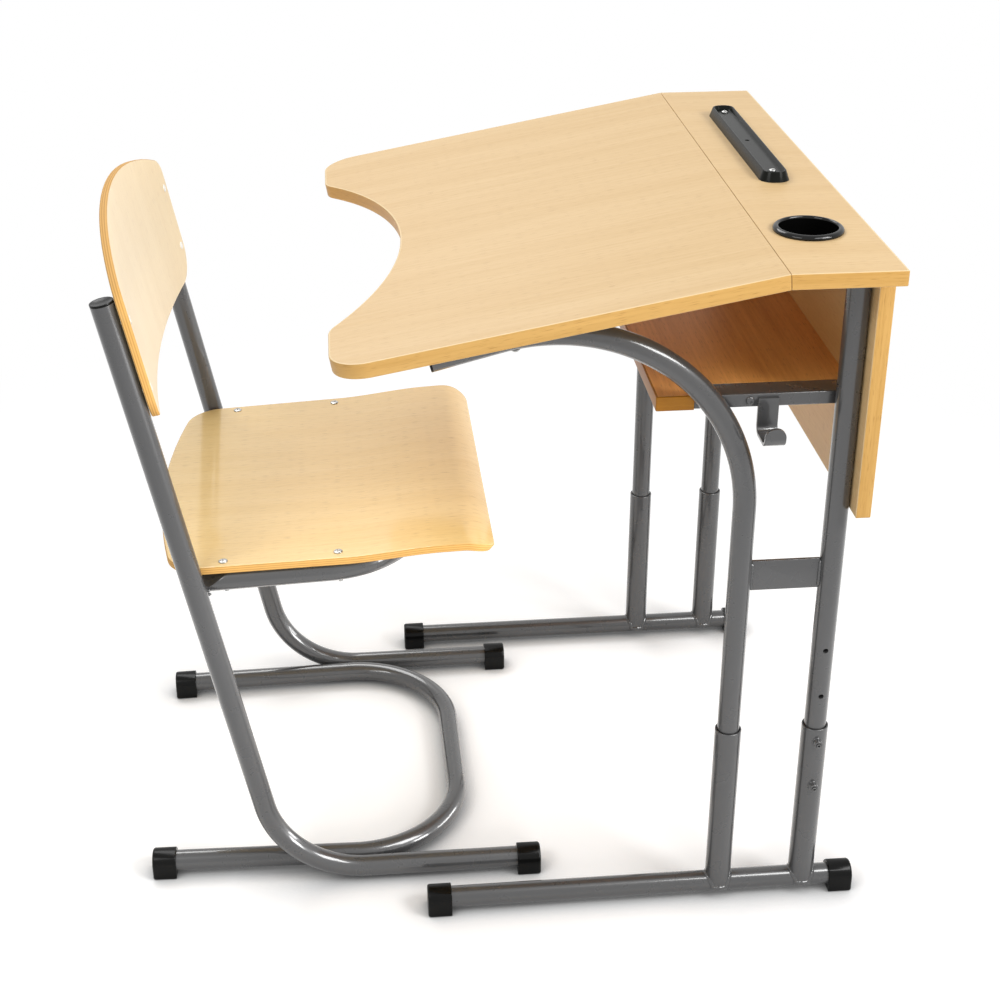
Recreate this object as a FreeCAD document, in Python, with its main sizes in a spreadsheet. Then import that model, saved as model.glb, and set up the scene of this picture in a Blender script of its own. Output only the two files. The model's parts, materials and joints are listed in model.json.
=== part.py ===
import FreeCAD, Part
import math
import os
import re

import Sketcher

# A school desk with a sloped worktop and the chair that belongs to it.
# Millimetres. +X runs from the chair to the back of the desk, +Y to the sitter's left, +Z up.
# The origin is on the floor, midway between the rear ends of the chair and of the desk.
SIZES = {
    # Frame tube, shared by desk and chair
    "tube_od": (25, "outside of the frame tube"),
    "tube_wall": (1.5, "wall of the frame tube"),
    "weld_gap": (0.2, "room left between two welded faces"),
    "floor_gap": (4, "tube lies this far above the floor"),
    "cap_width": (32, "outside of a foot cap"),
    "cap_length": (28, "length of a foot cap"),
    "cap_end": (4, "closed end of a foot cap"),
    "cap_round": (3, "rounding of a foot cap"),
    "plastic_fit": (0.1, "play between a plastic piece and its tube"),
    "plug_depth": (14, "spigot of a tube plug"),
    "plug_head": (2.5, "height of a tube plug's head"),
    "plug_dish": (1.6, "depth of the dish in a tube plug"),
    "plug_lip": (1, "flat rim round that dish"),
    # Desk base
    "leg_inset": (57.5, "leg axis in from the worktop's side edge"),
    "leg_gap": (100, "front leg axis to rear leg axis"),
    "rail_nose": (344, "front leg axis to the front end of the foot"),
    "rail_tail": (60, "rear leg axis to the rear end of the foot"),
    "sleeve_od": (30, "outside of the leg sleeve"),
    "sleeve_wall": (2, "wall of the leg sleeve"),
    "sleeve_top": (234, "height of the leg sleeve's mouth"),
    "lock_pitch": (60, "step of the height settings"),
    "settings": (3, "number of height settings"),
    "lock_inset": (16, "upper lock screw below the sleeve's mouth"),
    "lock_d": (5, "lock screw diameter"),
    "lock_play": (0.1, "play round a lock screw"),
    "lock_tip_gap": (0.3, "lock screw's tip to the leg"),
    "boss_od": (10, "outside of a lock boss"),
    "boss_height": (7, "lock boss above the sleeve"),
    "lock_proud": (1.5, "lock screw above its boss"),
    "socket_d": (3, "key socket of a lock screw"),
    "socket_depth": (3, "depth of the key socket"),
    "index_d": (5.5, "index hole in the rear leg"),
    "stop_gap": (2, "leg above the foot rail at the lowest setting"),
    # Desk boards
    "desk_width": (700, "width of the worktop and rear strip"),
    "board": (16, "thickness of the boards"),
    "band": (2, "thickness of the edge band"),
    "strip_top": (794, "height of the rear strip at the top setting"),
    "strip_depth": (116, "front to back of the rear strip"),
    "seam_back": (14.5, "seam behind the front leg axis"),
    "seam_gap": (0.8, "open seam between strip and worktop"),
    "slope": (10.4, "worktop slope in degrees"),
    "worktop_depth": (450, "worktop from the seam to its front, along the slope"),
    "worktop_corner": (40, "outer corner radius of the worktop"),
    "chest_radius": (400, "radius of the chest cut-out"),
    "chest_depth": (85, "depth of the chest cut-out"),
    "chest_round": (32, "rounding beside the chest cut-out"),
    "modesty_inset": (30, "front panel's side edges in from the worktop's"),
    "modesty_bottom": (510, "height of the front panel's lower edge"),
    "shelf_top": (640, "height of the shelf's upper face"),
    "shelf_nose": (97, "shelf's front edge ahead of the front leg axis"),
    # Desk upper frame
    "arm_bend": (208, "bend radius of the worktop arm, to the axis"),
    "arm_overbend": (4, "arm's tip turns this much past the slope, in degrees"),
    "arm_end": (70, "straight tip of the arm"),
    "brace_height": (36, "height of the brace plate"),
    "brace_plate": (4, "thickness of the brace plate"),
    "brace_mid": (432, "height of the brace plate's middle"),
    "rail_wide": (30, "width of the shelf rail"),
    "rail_high": (15, "height of the shelf rail"),
    "rail_wall": (1.5, "wall of the shelf rail"),
    "rail_round": (2, "outer corner of the shelf rail"),
    "shelf_rail_nose": (57, "shelf rail's front end ahead of the front leg axis"),
    "top_plate": (3, "thickness of the plate on a rear leg"),
    "top_plate_long": (48, "length of that plate, across the desk"),
    "top_plate_wide": (40, "width of that plate"),
    "strip_screw_end": (12, "strip screws from the plate's inner end"),
    "strip_screw_edge": (10, "first strip screw from the plate's front edge"),
    "strip_screw_gap": (18, "first strip screw to the second"),
    "strap": (2, "thickness of a seam strap"),
    "strap_leg": (45, "length of each leg of a seam strap"),
    "strap_wide": (40, "width of a seam strap"),
    "strap_span": (300, "distance between the two seam straps"),
    "strap_screw": (27, "strap screws from the strap's bend"),
    "hook_back": (20, "bag hook behind the front leg axis"),
    "hook_wide": (22, "width of the bag hook"),
    "hook_plate": (4, "thickness of the bag hook"),
    "hook_top_inset": (4, "hook's upper edge below the rail's"),
    "hook_drop": (40, "height of the bag hook"),
    "hook_reach": (38, "bag hook from the rail to its tab"),
    "hook_tab": (20, "height of the hook's tab"),
    "hook_bend": (9, "bend radius of the hook, to the middle of the plate"),
    "hook_flat": (2, "flat left on top of the hook's tab"),
    # Fittings on the rear strip
    "cup_back": (64, "cup's axis behind the front leg axis"),
    "cup_inset": (129, "cup's axis in from the strip's right end"),
    "cup_bore": (60, "inside of the cup"),
    "cup_wall": (2, "wall of the cup"),
    "cup_flange": (73, "flange of the cup"),
    "cup_rim": (5, "height of the cup's rim"),
    "cup_depth": (34, "cup below the strip's face"),
    "cup_play": (0.5, "play round the cup in its hole"),
    "tray_back": (71, "tray's middle behind the front leg axis"),
    "tray_side": (91, "tray's middle to the left of the middle"),
    "tray_long": (299, "length of the pen tray"),
    "tray_wide": (34, "width of the pen tray"),
    "tray_high": (11, "height of the pen tray"),
    "tray_draft": (4, "tray's rim inside its foot"),
    "tray_rim": (1.6, "width of the tray's rim"),
    "tray_sink": (4.5, "depth of the tray's channel"),
    "tray_floor_draft": (2.5, "channel's floor inside its rim"),
    "tray_corner": (15, "corner radius of the tray's foot"),
    "tray_screws": (252, "distance between the tray's screws"),
    # Chair frame
    "chair_tail": (669, "desk's front leg axis to the rear end of the chair"),
    "chair_length": (465, "rear cap to front cap"),
    "chair_span": (453, "left to right between side tube axes"),
    "post_set": (18, "top of the post ahead of the rear end"),
    "post_top": (742, "height of the post's end"),
    "post_lean": (11, "post's lean in degrees"),
    "foot_bend": (120, "bend radius of the side tube, to the axis"),
    "loop_nose": (374, "front of the floor loop's axis ahead of the rear end"),
    "loop_bend": (128, "bend radius of the floor loop, to the axis"),
    "loop_taper": (1.7, "floor loop's legs close in towards the rear, each by this many degrees"),
    "support_tail": (66, "seat support's rear end ahead of the chair's"),
    "support_nose": (334, "front of the seat support's axis ahead of the rear end"),
    "support_bend": (70, "bend radius of the seat support, to the axis"),
    # Seat and backrest
    "ply": (9, "thickness of the bent plywood"),
    "seat_set": (34, "seat's rear edge ahead of the chair's rear end"),
    "seat_rear_top": (425, "height of the seat's rear edge"),
    "seat_slope": (2.5, "seat's rise towards the front in degrees"),
    "seat_depth": (380, "seat from front to back"),
    "seat_rear": (424, "width of the seat behind"),
    "seat_front": (440, "width of the seat in front"),
    "seat_rear_sweep": (24, "rear edge's side ends ahead of its middle"),
    "seat_rear_corner": (45, "rear corner radius of the seat"),
    "seat_front_corner": (26, "front corner radius of the seat"),
    "lip_bend": (52, "radius of the seat's turned-down front"),
    "lip_turn": (44, "turn of the seat's front in degrees"),
    "back_half": (235, "half the width of the backrest"),
    "back_low": (140, "backrest's lower edge below the post's end"),
    "back_high": (56, "backrest's middle above the post's end"),
    "back_arch": (590, "radius of the backrest's upper edge"),
    "back_bow": (1321, "radius of the backrest's front face"),
    "back_low_corner": (40, "lower corner radius of the backrest"),
    "back_high_corner": (25, "upper corner radius of the backrest"),
    # Fasteners
    "screw_d": (5, "wood screw"),
    "screw_head": (9, "wood screw's head"),
    "screw_head_high": (2.6, "height of the wood screw's head"),
    "screw_bite": (12, "wood screw's length in a board"),
    "screw_play": (0.2, "play round a screw, on the radius"),
    "hole_deeper": (1, "blind screw hole past the screw's tip"),
    "panel_screw_grip": (4, "front panel's screw past the leg's wall"),
    "bolt_d": (5, "seat bolt"),
    "bolt_head": (10, "seat bolt's head"),
    "bolt_head_high": (1.8, "height of the seat bolt's head"),
    "bolt_proud": (2, "seat bolt past the tapped lower wall of the support"),
    "rivet_head": (9, "back rivet's head"),
    "rivet_head_high": (1.2, "height of the back rivet's head"),
    "rivet_tail": (5, "back rivet past the post's wall"),
    "bolt_rear": (80, "rear seat bolts ahead of the seat's rear edge"),
    "bolt_gap": (126, "rear seat bolts to front seat bolts"),
    "rivet_high": (24, "upper back rivets below the post's end"),
    "rivet_gap": (76, "upper back rivets to lower back rivets"),
    "panel_screw_inset": (46, "front panel's screws from its upper and lower edges"),
    "shelf_screw_back": (39.1, "shelf screw behind the arm, where the arm crosses the shelf rail"),
}

RIGHT = -1
LEFT = 1
SIDES = (("right", RIGHT), ("left", LEFT))
X_AXIS = (1, 0, 0)
Y_AXIS = (0, 1, 0)
Z_AXIS = (0, 0, 1)
TILT_AXIS = (0, -1, 0)

# How near a point an edge lies that is picked there
NEAR = 0.5

# Places that several pieces share, as formulas of the sizes
LEG_X = "((chair_tail - leg_gap - rail_tail) / 2)"
REAR_LEG_X = f"({LEG_X} + leg_gap)"
SEAM_X = f"({LEG_X} + seam_back)"
CHAIR_X = f"({LEG_X} - chair_tail)"
FLOOR_AXIS = "(floor_gap + tube_od / 2)"
LEG_BOTTOM = "(floor_gap + tube_od + (settings - 1) * lock_pitch + stop_gap)"
STRIP_UNDER = "(strip_top - board)"
PANEL_X = f"({REAR_LEG_X} + tube_od / 2 + weld_gap)"
LEG_Y = "(desk_width / 2 - leg_inset)"
RAIL_FACE_Y = f"({LEG_Y} - tube_od / 2 - weld_gap)"
CUP_Y = "(cup_inset - desk_width / 2)"
POST_Y = "(chair_span / 2)"
INNER_Y = "(chair_span / 2 - tube_od - weld_gap)"
POST_X = f"({CHAIR_X} + post_set)"
ARM_TURN = "(90 + slope + arm_overbend)"
ARM_ARC_Z = ("(strip_top - (board + weld_gap + arm_bend + tube_od / 2"
             " + (seam_back + arm_bend) * sin(slope)) / cos(slope))")
ARM_TOUCH = f"((seam_back + arm_bend) * cos(slope) - ({ARM_ARC_Z} - strip_top) * sin(slope))"
ARM_RISE = f"max(shelf_top - rail_high / 2 - {ARM_ARC_Z}; 0)"
ARM_AT_RAIL = f"({LEG_X} - arm_bend + sqrt(max(pow(arm_bend; 2) - pow({ARM_RISE}; 2); 0)))"
BACK_CENTRE = "(sqrt(pow(back_bow + ply + tube_od / 2 + weld_gap; 2) - pow(chair_span / 2; 2)))"
BACK_SIDE = "(asin(chair_span / 2 / (back_bow + ply + tube_od / 2 + weld_gap)))"
SCREW_HOLE = "(screw_d / 2 + screw_play)"
BOLT_HOLE = "(bolt_d / 2 + screw_play)"

document = FreeCAD.newDocument("desk_and_chair")
sheet = document.addObject("Spreadsheet::Sheet", "Sizes")
for row, (size_name, (number, meaning)) in enumerate(SIZES.items(), start=1):
    sheet.set(f"A{row}", size_name)
    sheet.set(f"B{row}", str(number))
    sheet.set(f"C{row}", meaning)
    sheet.setAlias(f"B{row}", size_name)
document.recompute()
nodes = []


def on_sheet(formula):
    """The formula with the name of each size pointed at its cell."""
    def cell(word):
        return "Sizes." + word.group() if word.group() in SIZES else word.group()
    return re.sub(r"[a-z]\w*", cell, formula)


def value(formula):
    """What the formula gives for the sizes on the sheet."""
    return float(sheet.evalExpression(on_sheet(formula)))


def bind(piece, quantity, formula):
    """Let the sheet drive one quantity of a piece."""
    piece.setExpression(quantity, on_sheet(formula))


def place(piece, x="0", y="0", z="0", axis=Z_AXIS, angle="0"):
    """Put a piece where the formulas say, turned about an axis."""
    turn = FreeCAD.Rotation(FreeCAD.Vector(*axis), value(angle))
    piece.Placement = FreeCAD.Placement(FreeCAD.Vector(), turn)
    bind(piece, "Placement.Base.x", x)
    bind(piece, "Placement.Base.y", y)
    bind(piece, "Placement.Base.z", z)
    if value(angle) != 0:
        bind(piece, "Placement.Rotation.Angle", angle)
    return piece


def node(piece, label):
    """Keep a finished piece as a node of that name."""
    piece.Label = label
    nodes.append(piece)
    return piece


def new_body(name):
    return document.addObject("PartDesign::Body", name)


def sketch(body, name, plane, height="0"):
    """A sketch on one of the body's own planes, or at a height above it."""
    drawing = body.newObject("Sketcher::SketchObject", f"{body.Name}_{name}")
    planes = {feature.Role: feature for feature in body.Origin.OriginFeatures}
    drawing.AttachmentSupport = [(planes[plane], "")]
    drawing.MapMode = "FlatFace"
    bind(drawing, "AttachmentOffset.Base.z", height)
    return drawing


def tie(drawing, constraint, formula):
    """Add a measured constraint and let the sheet drive it."""
    index = drawing.addConstraint(constraint)
    drawing.renameConstraint(index, f"size_{index}")
    bind(drawing, f"Constraints.size_{index}", formula)


def pin(drawing, line, end, x, y):
    """Hold one point of a line or arc at two formulas."""
    tie(drawing, Sketcher.Constraint("DistanceX", -1, 1, line, end, value(x)), x)
    tie(drawing, Sketcher.Constraint("DistanceY", -1, 1, line, end, value(y)), y)


def circle(drawing, radius, x="0", y="0"):
    centre = FreeCAD.Vector(value(x), value(y), 0)
    line = drawing.addGeometry(Part.Circle(centre, FreeCAD.Vector(0, 0, 1), value(radius)), False)
    pin(drawing, line, 3, x, y)
    tie(drawing, Sketcher.Constraint("Radius", line, value(radius)), radius)


def arc_between(start, end, radius, turn):
    """The shorter arc from start to end, turning left (1) or right (-1), and its end numbers."""
    chord = end - start
    across = FreeCAD.Vector(-chord.y, chord.x, 0).normalize() * turn
    centre = (start + end) * 0.5 + across * math.sqrt(max(radius ** 2 - (chord.Length / 2) ** 2, 0))
    first, last = (start, end) if turn > 0 else (end, start)
    first_angle = math.atan2(first.y - centre.y, first.x - centre.x)
    last_angle = math.atan2(last.y - centre.y, last.x - centre.x)
    ring = Part.Circle(centre, FreeCAD.Vector(0, 0, 1), radius)
    return Part.ArcOfCircle(ring, first_angle, last_angle), (1, 2) if turn > 0 else (2, 1)


def outline(drawing, corners, arcs=None):
    """A closed outline. Its sides are straight, or arcs given as {side: (radius, turn)}."""
    arcs = arcs or {}
    spots = [FreeCAD.Vector(value(x), value(y), 0) for x, y in corners]
    sides = []
    for side, start in enumerate(spots):
        end = spots[(side + 1) % len(spots)]
        if side in arcs:
            radius, turn = arcs[side]
            arc, ends = arc_between(start, end, value(radius), turn)
            line = drawing.addGeometry(arc, False)
            tie(drawing, Sketcher.Constraint("Radius", line, value(radius)), radius)
        else:
            line = drawing.addGeometry(Part.LineSegment(start, end), False)
            ends = (1, 2)
        sides.append((line, ends))
    for side, (line, ends) in enumerate(sides):
        before, before_ends = sides[side - 1]
        drawing.addConstraint(Sketcher.Constraint("Coincident", before, before_ends[1], line, ends[0]))
        pin(drawing, line, ends[0], *corners[side])


def rectangle(drawing, low_x, low_y, high_x, high_y):
    outline(drawing, [(low_x, low_y), (high_x, low_y), (high_x, high_y), (low_x, high_y)])


def bent_line(drawing, corners, radii):
    """An open run of straight lines, with an arc of its own radius at each inner corner."""
    spots = [FreeCAD.Vector(value(x), value(y), 0) for x, y in corners]
    ways = [(end - start).normalize() for start, end in zip(spots, spots[1:])]
    starts = [spots[0]]
    ends = []
    bends = []
    for spot, way_in, way_out, radius in zip(spots[1:], ways, ways[1:], radii):
        reach = value(radius) * math.tan(way_in.getAngle(way_out) / 2)
        turn = 1 if way_in.cross(way_out).z > 0 else -1
        ends.append(spot - way_in * reach)
        starts.append(spot + way_out * reach)
        bends.append(arc_between(ends[-1], starts[-1], value(radius), turn))
    ends.append(spots[-1])
    lines = []
    for start, end in zip(starts, ends):
        lines.append(drawing.addGeometry(Part.LineSegment(start, end), False))
    pin(drawing, lines[0], 1, *corners[0])
    pin(drawing, lines[-1], 2, *corners[-1])
    for index, (arc, (first, last)) in enumerate(bends):
        corner = drawing.addGeometry(Part.Point(spots[index + 1]), True)
        pin(drawing, corner, 1, *corners[index + 1])
        bend = drawing.addGeometry(arc, False)
        before, after = lines[index], lines[index + 1]
        drawing.addConstraint(Sketcher.Constraint("PointOnObject", corner, 1, before))
        drawing.addConstraint(Sketcher.Constraint("PointOnObject", corner, 1, after))
        drawing.addConstraint(Sketcher.Constraint("Tangent", before, 2, bend, first))
        drawing.addConstraint(Sketcher.Constraint("Tangent", bend, last, after, 1))
        tie(drawing, Sketcher.Constraint("Radius", bend, value(radii[index])), radii[index])


def pad(body, drawing, length, symmetric=False, downwards=False):
    feature = body.newObject("PartDesign::Pad", f"{drawing.Name}_pad")
    feature.Profile = drawing
    feature.SideType = "Symmetric" if symmetric else "One side"
    feature.Reversed = downwards
    bind(feature, "Length", length)
    document.recompute()
    return feature


def pocket(body, drawing, length, symmetric=False, upwards=False):
    """Cut a sketch's outline out of the body, and make sure that it cut."""
    before = body.Shape.Volume
    feature = body.newObject("PartDesign::Pocket", f"{drawing.Name}_pocket")
    feature.Profile = drawing
    feature.SideType = "Symmetric" if symmetric else "One side"
    feature.Reversed = upwards
    bind(feature, "Length", length)
    document.recompute()
    if body.Shape.Volume >= before:
        raise ValueError(f"{feature.Name} cuts nothing")
    return feature


def round_edges(body, radius, chosen):
    """Round the body's edges for which chosen(edge) is true."""
    base = body.Tip
    feature = body.newObject("PartDesign::Fillet", f"{body.Name}_round_{len(body.Group)}")
    names = [f"Edge{number}" for number, edge in enumerate(base.Shape.Edges, start=1) if chosen(edge)]
    feature.Base = (base, names)
    bind(feature, "Radius", radius)
    document.recompute()


def stands_at(spots):
    """A test for upright edges at the given x and y."""
    def chosen(edge):
        box = edge.BoundBox
        upright = box.XLength < NEAR and box.YLength < NEAR and box.ZLength > NEAR
        middle = box.Center
        return upright and any(math.hypot(middle.x - x, middle.y - y) < NEAR for x, y in spots)
    return chosen


def tube(name, plane, length, outside="tube_od", wall="tube_wall"):
    """A straight round tube from its body's origin."""
    body = new_body(name)
    section = sketch(body, "section", plane)
    circle(section, f"{outside} / 2")
    circle(section, f"{outside} / 2 - {wall}")
    pad(body, section, length)
    return body


def bent_tube(name, plane, corners, radii, section_plane, section_x="0", section_y="0"):
    """A round tube bent along a flat path."""
    body = new_body(name)
    path = sketch(body, "path", plane)
    bent_line(path, corners, radii)
    section = sketch(body, "section", section_plane)
    circle(section, "tube_od / 2", section_x, section_y)
    circle(section, "tube_od / 2 - tube_wall", section_x, section_y)
    pipe = body.newObject("PartDesign::AdditivePipe", f"{name}_pipe")
    pipe.Profile = section
    pipe.Spine = path
    document.recompute()
    return body


def turned(name, corners, arcs=None):
    """A solid of revolution about Z, from a half section in radius and height."""
    body = new_body(name)
    section = sketch(body, "section", "XZ_Plane")
    outline(section, corners, arcs)
    feature = body.newObject("PartDesign::Revolution", f"{name}_turn")
    feature.Profile = section
    feature.ReferenceAxis = (section, ["V_Axis"])
    feature.Angle = 360
    document.recompute()
    return body


def cylinder(name, radius, height):
    piece = document.addObject("Part::Cylinder", name)
    bind(piece, "Radius", radius)
    bind(piece, "Height", height)
    return piece


def block(name, long, wide, high):
    piece = document.addObject("Part::Box", name)
    bind(piece, "Length", long)
    bind(piece, "Width", wide)
    bind(piece, "Height", high)
    return piece


def cut(name, base, tool):
    piece = document.addObject("Part::Cut", name)
    piece.Base = base
    piece.Tool = tool
    return piece


def together(name, pieces):
    """Several loose solids as one object."""
    group = document.addObject("Part::Compound", name)
    group.Links = pieces
    return group


def drilled(name, base, drills):
    """The base with all the drills' holes in it."""
    return cut(name, base, together(f"{name}_drills", drills))


def copies(label, master, seats):
    """A node of loose copies of one fastener, one at each seat."""
    links = []
    for number, seat in enumerate(seats):
        link = document.addObject("App::Link", f"{label}_{number}")
        link.LinkedObject = master
        links.append(place(link, **seat))
    return node(together(label, links), label)


def drills(name, radius, depth, seats, backwards="0"):
    """Cylinders that run down from each seat, along the fastener that sits there."""
    tools = []
    for number, seat in enumerate(seats):
        rod = cylinder(f"{name}_rod_{number}", radius, f"{depth} + {backwards}")
        place(rod, z=f"-({depth})")
        holder = document.addObject("App::Link", f"{name}_{number}")
        holder.LinkedObject = rod
        holder.LinkTransform = True
        tools.append(place(holder, **seat))
    return tools


def screw(name, head, head_high, shank, length):
    """A headed fastener: the head's underside at the origin, the shank down along -Z."""
    return turned(name, [("0", f"-({length})"), (f"{shank} / 2", f"-({length})"), (f"{shank} / 2", "0"),
                         (f"{head} / 2", "0"), (f"{head} / 2", f"{head_high} / 3"),
                         (f"{head} / 4", head_high), ("0", head_high)])


# Foot caps and tube plugs: black plastic, the same on desk and chair

def foot_cap(label, x, y, turn):
    """A cap over a tube's end, flat below, closed at its origin, with its bore turned from +X."""
    body = new_body(label)
    section = sketch(body, "section", "YZ_Plane")
    outline(section, [("-cap_width / 2", f"-{FLOOR_AXIS}"), ("cap_width / 2", f"-{FLOOR_AXIS}"),
                      ("cap_width / 2", "0"), ("0", "cap_width / 2"), ("-cap_width / 2", "0")],
            {2: ("cap_width / 2", 1), 3: ("cap_width / 2", 1)})
    pad(body, section, "cap_length")
    round_edges(body, "cap_round", lambda edge: edge.BoundBox.XMax < NEAR)
    bore = sketch(body, "bore", "YZ_Plane", "cap_length")
    circle(bore, "tube_od / 2 + plastic_fit")
    pocket(body, bore, "cap_length - cap_end")
    place(body, x, y, FLOOR_AXIS, angle=turn)
    node(body, label)


def tube_plug(name):
    """A plug with a dished head: the head's underside at the origin."""
    spigot = "tube_od / 2 - tube_wall - plastic_fit"
    lip = "(tube_od / 2 - plug_lip)"
    dish = f"((pow({lip}; 2) + pow(plug_dish; 2)) / (2 * plug_dish))"
    return turned(name, [("0", "-plug_depth"), (spigot, "-plug_depth"), (spigot, "0"), ("tube_od / 2", "0"),
                         ("tube_od / 2", "plug_head"), (lip, "plug_head"), ("0", "plug_head - plug_dish")],
                  {5: (dish, -1)})


plug = tube_plug("tube_plug")

# Desk base: two floor rails, four sleeves welded on them, caps and lock screws

LOCK_HEIGHTS = ["sleeve_top - lock_inset", "sleeve_top - lock_inset - lock_pitch"]
OUTWARD = {RIGHT: "90", LEFT: "-90"}


def lock_seats(from_axis):
    """Seats on the rear sleeves' outer sides, this far from the leg's axis."""
    return [{"x": REAR_LEG_X, "y": f"{side} * ({LEG_Y} + {from_axis})", "z": height,
             "axis": X_AXIS, "angle": OUTWARD[side]}
            for _, side in SIDES for height in LOCK_HEIGHTS]


def foot_rail(name, side):
    body = tube(f"foot_rail_{name}", "YZ_Plane", "rail_nose + leg_gap + rail_tail - 2 * cap_end")
    place(body, f"{LEG_X} - rail_nose + cap_end", f"{side} * {LEG_Y}", FLOOR_AXIS)
    node(body, f"foot_rail_{name}")


def leg_sleeve(name, side, which, x, locks):
    """A sleeve that straddles the floor rail; the rear ones take the lock screws."""
    label = f"{which}_sleeve_{name}"
    body = tube(f"{label}_tube", "XY_Plane", f"sleeve_top - {FLOOR_AXIS}", "sleeve_od", "sleeve_wall")
    saddle = sketch(body, "saddle", "YZ_Plane")
    circle(saddle, "tube_od / 2 + weld_gap")
    pocket(body, saddle, "2 * sleeve_od", symmetric=True)
    place(body, x, f"{side} * {LEG_Y}", FLOOR_AXIS)
    if locks:
        seats = [seat for seat in lock_seats("sleeve_od") if seat["y"].startswith(f"{side} ")]
        body = drilled(label, body, drills(f"{label}_hole", "lock_d / 2 + lock_play", "sleeve_od", seats))
    node(body, label)


def lock_bosses():
    """Round nuts welded over the holes in the rear sleeves."""
    bosses = []
    for number, seat in enumerate(lock_seats("sleeve_od / 2 + boss_height")):
        rod = place(cylinder(f"boss_rod_{number}", "boss_od / 2", "boss_height + sleeve_od / 2"),
                    z="-(boss_height + sleeve_od / 2)")
        bore = place(cylinder(f"boss_bore_{number}", "lock_d / 2 + lock_play", "2 * sleeve_od"),
                     z="-sleeve_od")
        ring = place(cut(f"boss_ring_{number}", rod, bore), **seat)
        leg = place(cylinder(f"boss_leg_{number}", "sleeve_od / 2 + weld_gap", "sleeve_top"),
                    seat["x"], f"{seat['y'].split()[0]} * {LEG_Y}")
        bosses.append(cut(f"boss_{number}", ring, leg))
    node(together("lock_bosses", bosses), "lock_bosses")


def lock_screws():
    """Socket screws that stop just short of the leg."""
    length = "(sleeve_od / 2 + boss_height + lock_proud - tube_od / 2 - lock_tip_gap)"
    pin_body = turned("lock_screw", [("0", f"-{length}"), ("lock_d / 2", f"-{length}"), ("lock_d / 2", "0"),
                                     ("socket_d / 2", "0"), ("socket_d / 2", "-socket_depth"),
                                     ("0", "-socket_depth")])
    copies("lock_screws", pin_body, lock_seats("sleeve_od / 2 + boss_height + lock_proud"))


def desk_base():
    for name, side in SIDES:
        foot_rail(name, side)
        leg_sleeve(name, side, "front", LEG_X, False)
        leg_sleeve(name, side, "rear", REAR_LEG_X, True)
        foot_cap(f"desk_front_cap_{name}", f"{LEG_X} - rail_nose", f"{side} * {LEG_Y}", "0")
        foot_cap(f"desk_rear_cap_{name}", f"{REAR_LEG_X} + rail_tail", f"{side} * {LEG_Y}", "180")
    lock_bosses()
    lock_screws()


# Desk upper frame: arms, rear legs, braces, shelf rails, plates, straps and hook

ARM_CORNER_Z = f"({ARM_ARC_Z} + arm_bend * tan({ARM_TURN} / 2))"
ARM_TIP = f"(arm_bend * tan({ARM_TURN} / 2) + arm_end)"
INTO_WORKTOP = {"axis": TILT_AXIS, "angle": "180 + slope"}


def worktop_point(along, below):
    """World x and z of a point this far along the slope from the seam, and below the worktop's face."""
    x = f"({SEAM_X} - ({along}) * cos(slope) + ({below}) * sin(slope))"
    z = f"(strip_top - ({along}) * sin(slope) - ({below}) * cos(slope))"
    return {"x": x, "z": z}


def arm_screw_seats():
    """Under the arms, square to the worktop, where the arms touch it."""
    spot = worktop_point(ARM_TOUCH, "board + weld_gap + tube_od")
    return [{**spot, "y": f"{side} * {LEG_Y}", **INTO_WORKTOP} for _, side in SIDES]


def arm(name, side, seat):
    """A front leg that bends forward into the arm under the worktop."""
    corner = f"({ARM_CORNER_Z} - {LEG_BOTTOM})"
    corners = [("0", "0"), ("0", corner),
               (f"-{ARM_TIP} * sin({ARM_TURN})", f"{corner} + {ARM_TIP} * cos({ARM_TURN})")]
    body = bent_tube(f"arm_{name}_tube", "XZ_Plane", corners, ["arm_bend"], "XY_Plane")
    place(body, LEG_X, f"{side} * {LEG_Y}", LEG_BOTTOM)
    hole = drills(f"arm_{name}_hole", SCREW_HOLE, "2 * tube_od", [seat], "tube_od")
    node(drilled(f"arm_{name}", body, hole), f"arm_{name}")


def arm_plugs():
    """Plugs in the arms' open tips."""
    seats = [{"x": f"{LEG_X} - {ARM_TIP} * sin({ARM_TURN})", "y": f"{side} * {LEG_Y}",
              "z": f"{ARM_CORNER_Z} + {ARM_TIP} * cos({ARM_TURN})", "axis": TILT_AXIS, "angle": ARM_TURN}
             for _, side in SIDES]
    copies("arm_plugs", plug, seats)


def panel_screw_seats(side):
    """On the rear face of the front panel, in line with a rear leg."""
    heights = [f"{STRIP_UNDER} - panel_screw_inset", "modesty_bottom + panel_screw_inset"]
    return [{"x": f"{PANEL_X} + board", "y": f"{side} * {LEG_Y}", "z": height, "axis": Y_AXIS, "angle": "90"}
            for height in heights]


def rear_leg(name, side):
    """The rear inner tube, with index holes outside and screw holes behind."""
    label = f"rear_leg_{name}"
    body = tube(f"{label}_tube", "XY_Plane", f"{STRIP_UNDER} - top_plate - weld_gap - {LEG_BOTTOM}")
    place(body, REAR_LEG_X, f"{side} * {LEG_Y}", LEG_BOTTOM)
    holes = [{"x": REAR_LEG_X, "y": f"{side} * ({LEG_Y} + tube_od)",
              "z": f"sleeve_top - lock_inset + {step} * lock_pitch", "axis": X_AXIS, "angle": OUTWARD[side]}
             for step in range(-1, int(value("settings")))]
    tools = drills(f"{label}_index", "index_d / 2", "tube_od", holes)
    tools += drills(f"{label}_panel", SCREW_HOLE, "board + tube_od / 2", panel_screw_seats(side))
    node(drilled(label, body, tools), label)


def brace(name, side):
    """A flat plate between the front and rear legs."""
    label = f"brace_plate_{name}"
    plate = block(label, "leg_gap - tube_od - 2 * weld_gap", "brace_plate", "brace_height")
    place(plate, f"{LEG_X} + tube_od / 2 + weld_gap", f"{side} * {LEG_Y} - brace_plate / 2",
          "brace_mid - brace_height / 2")
    node(plate, label)


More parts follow.
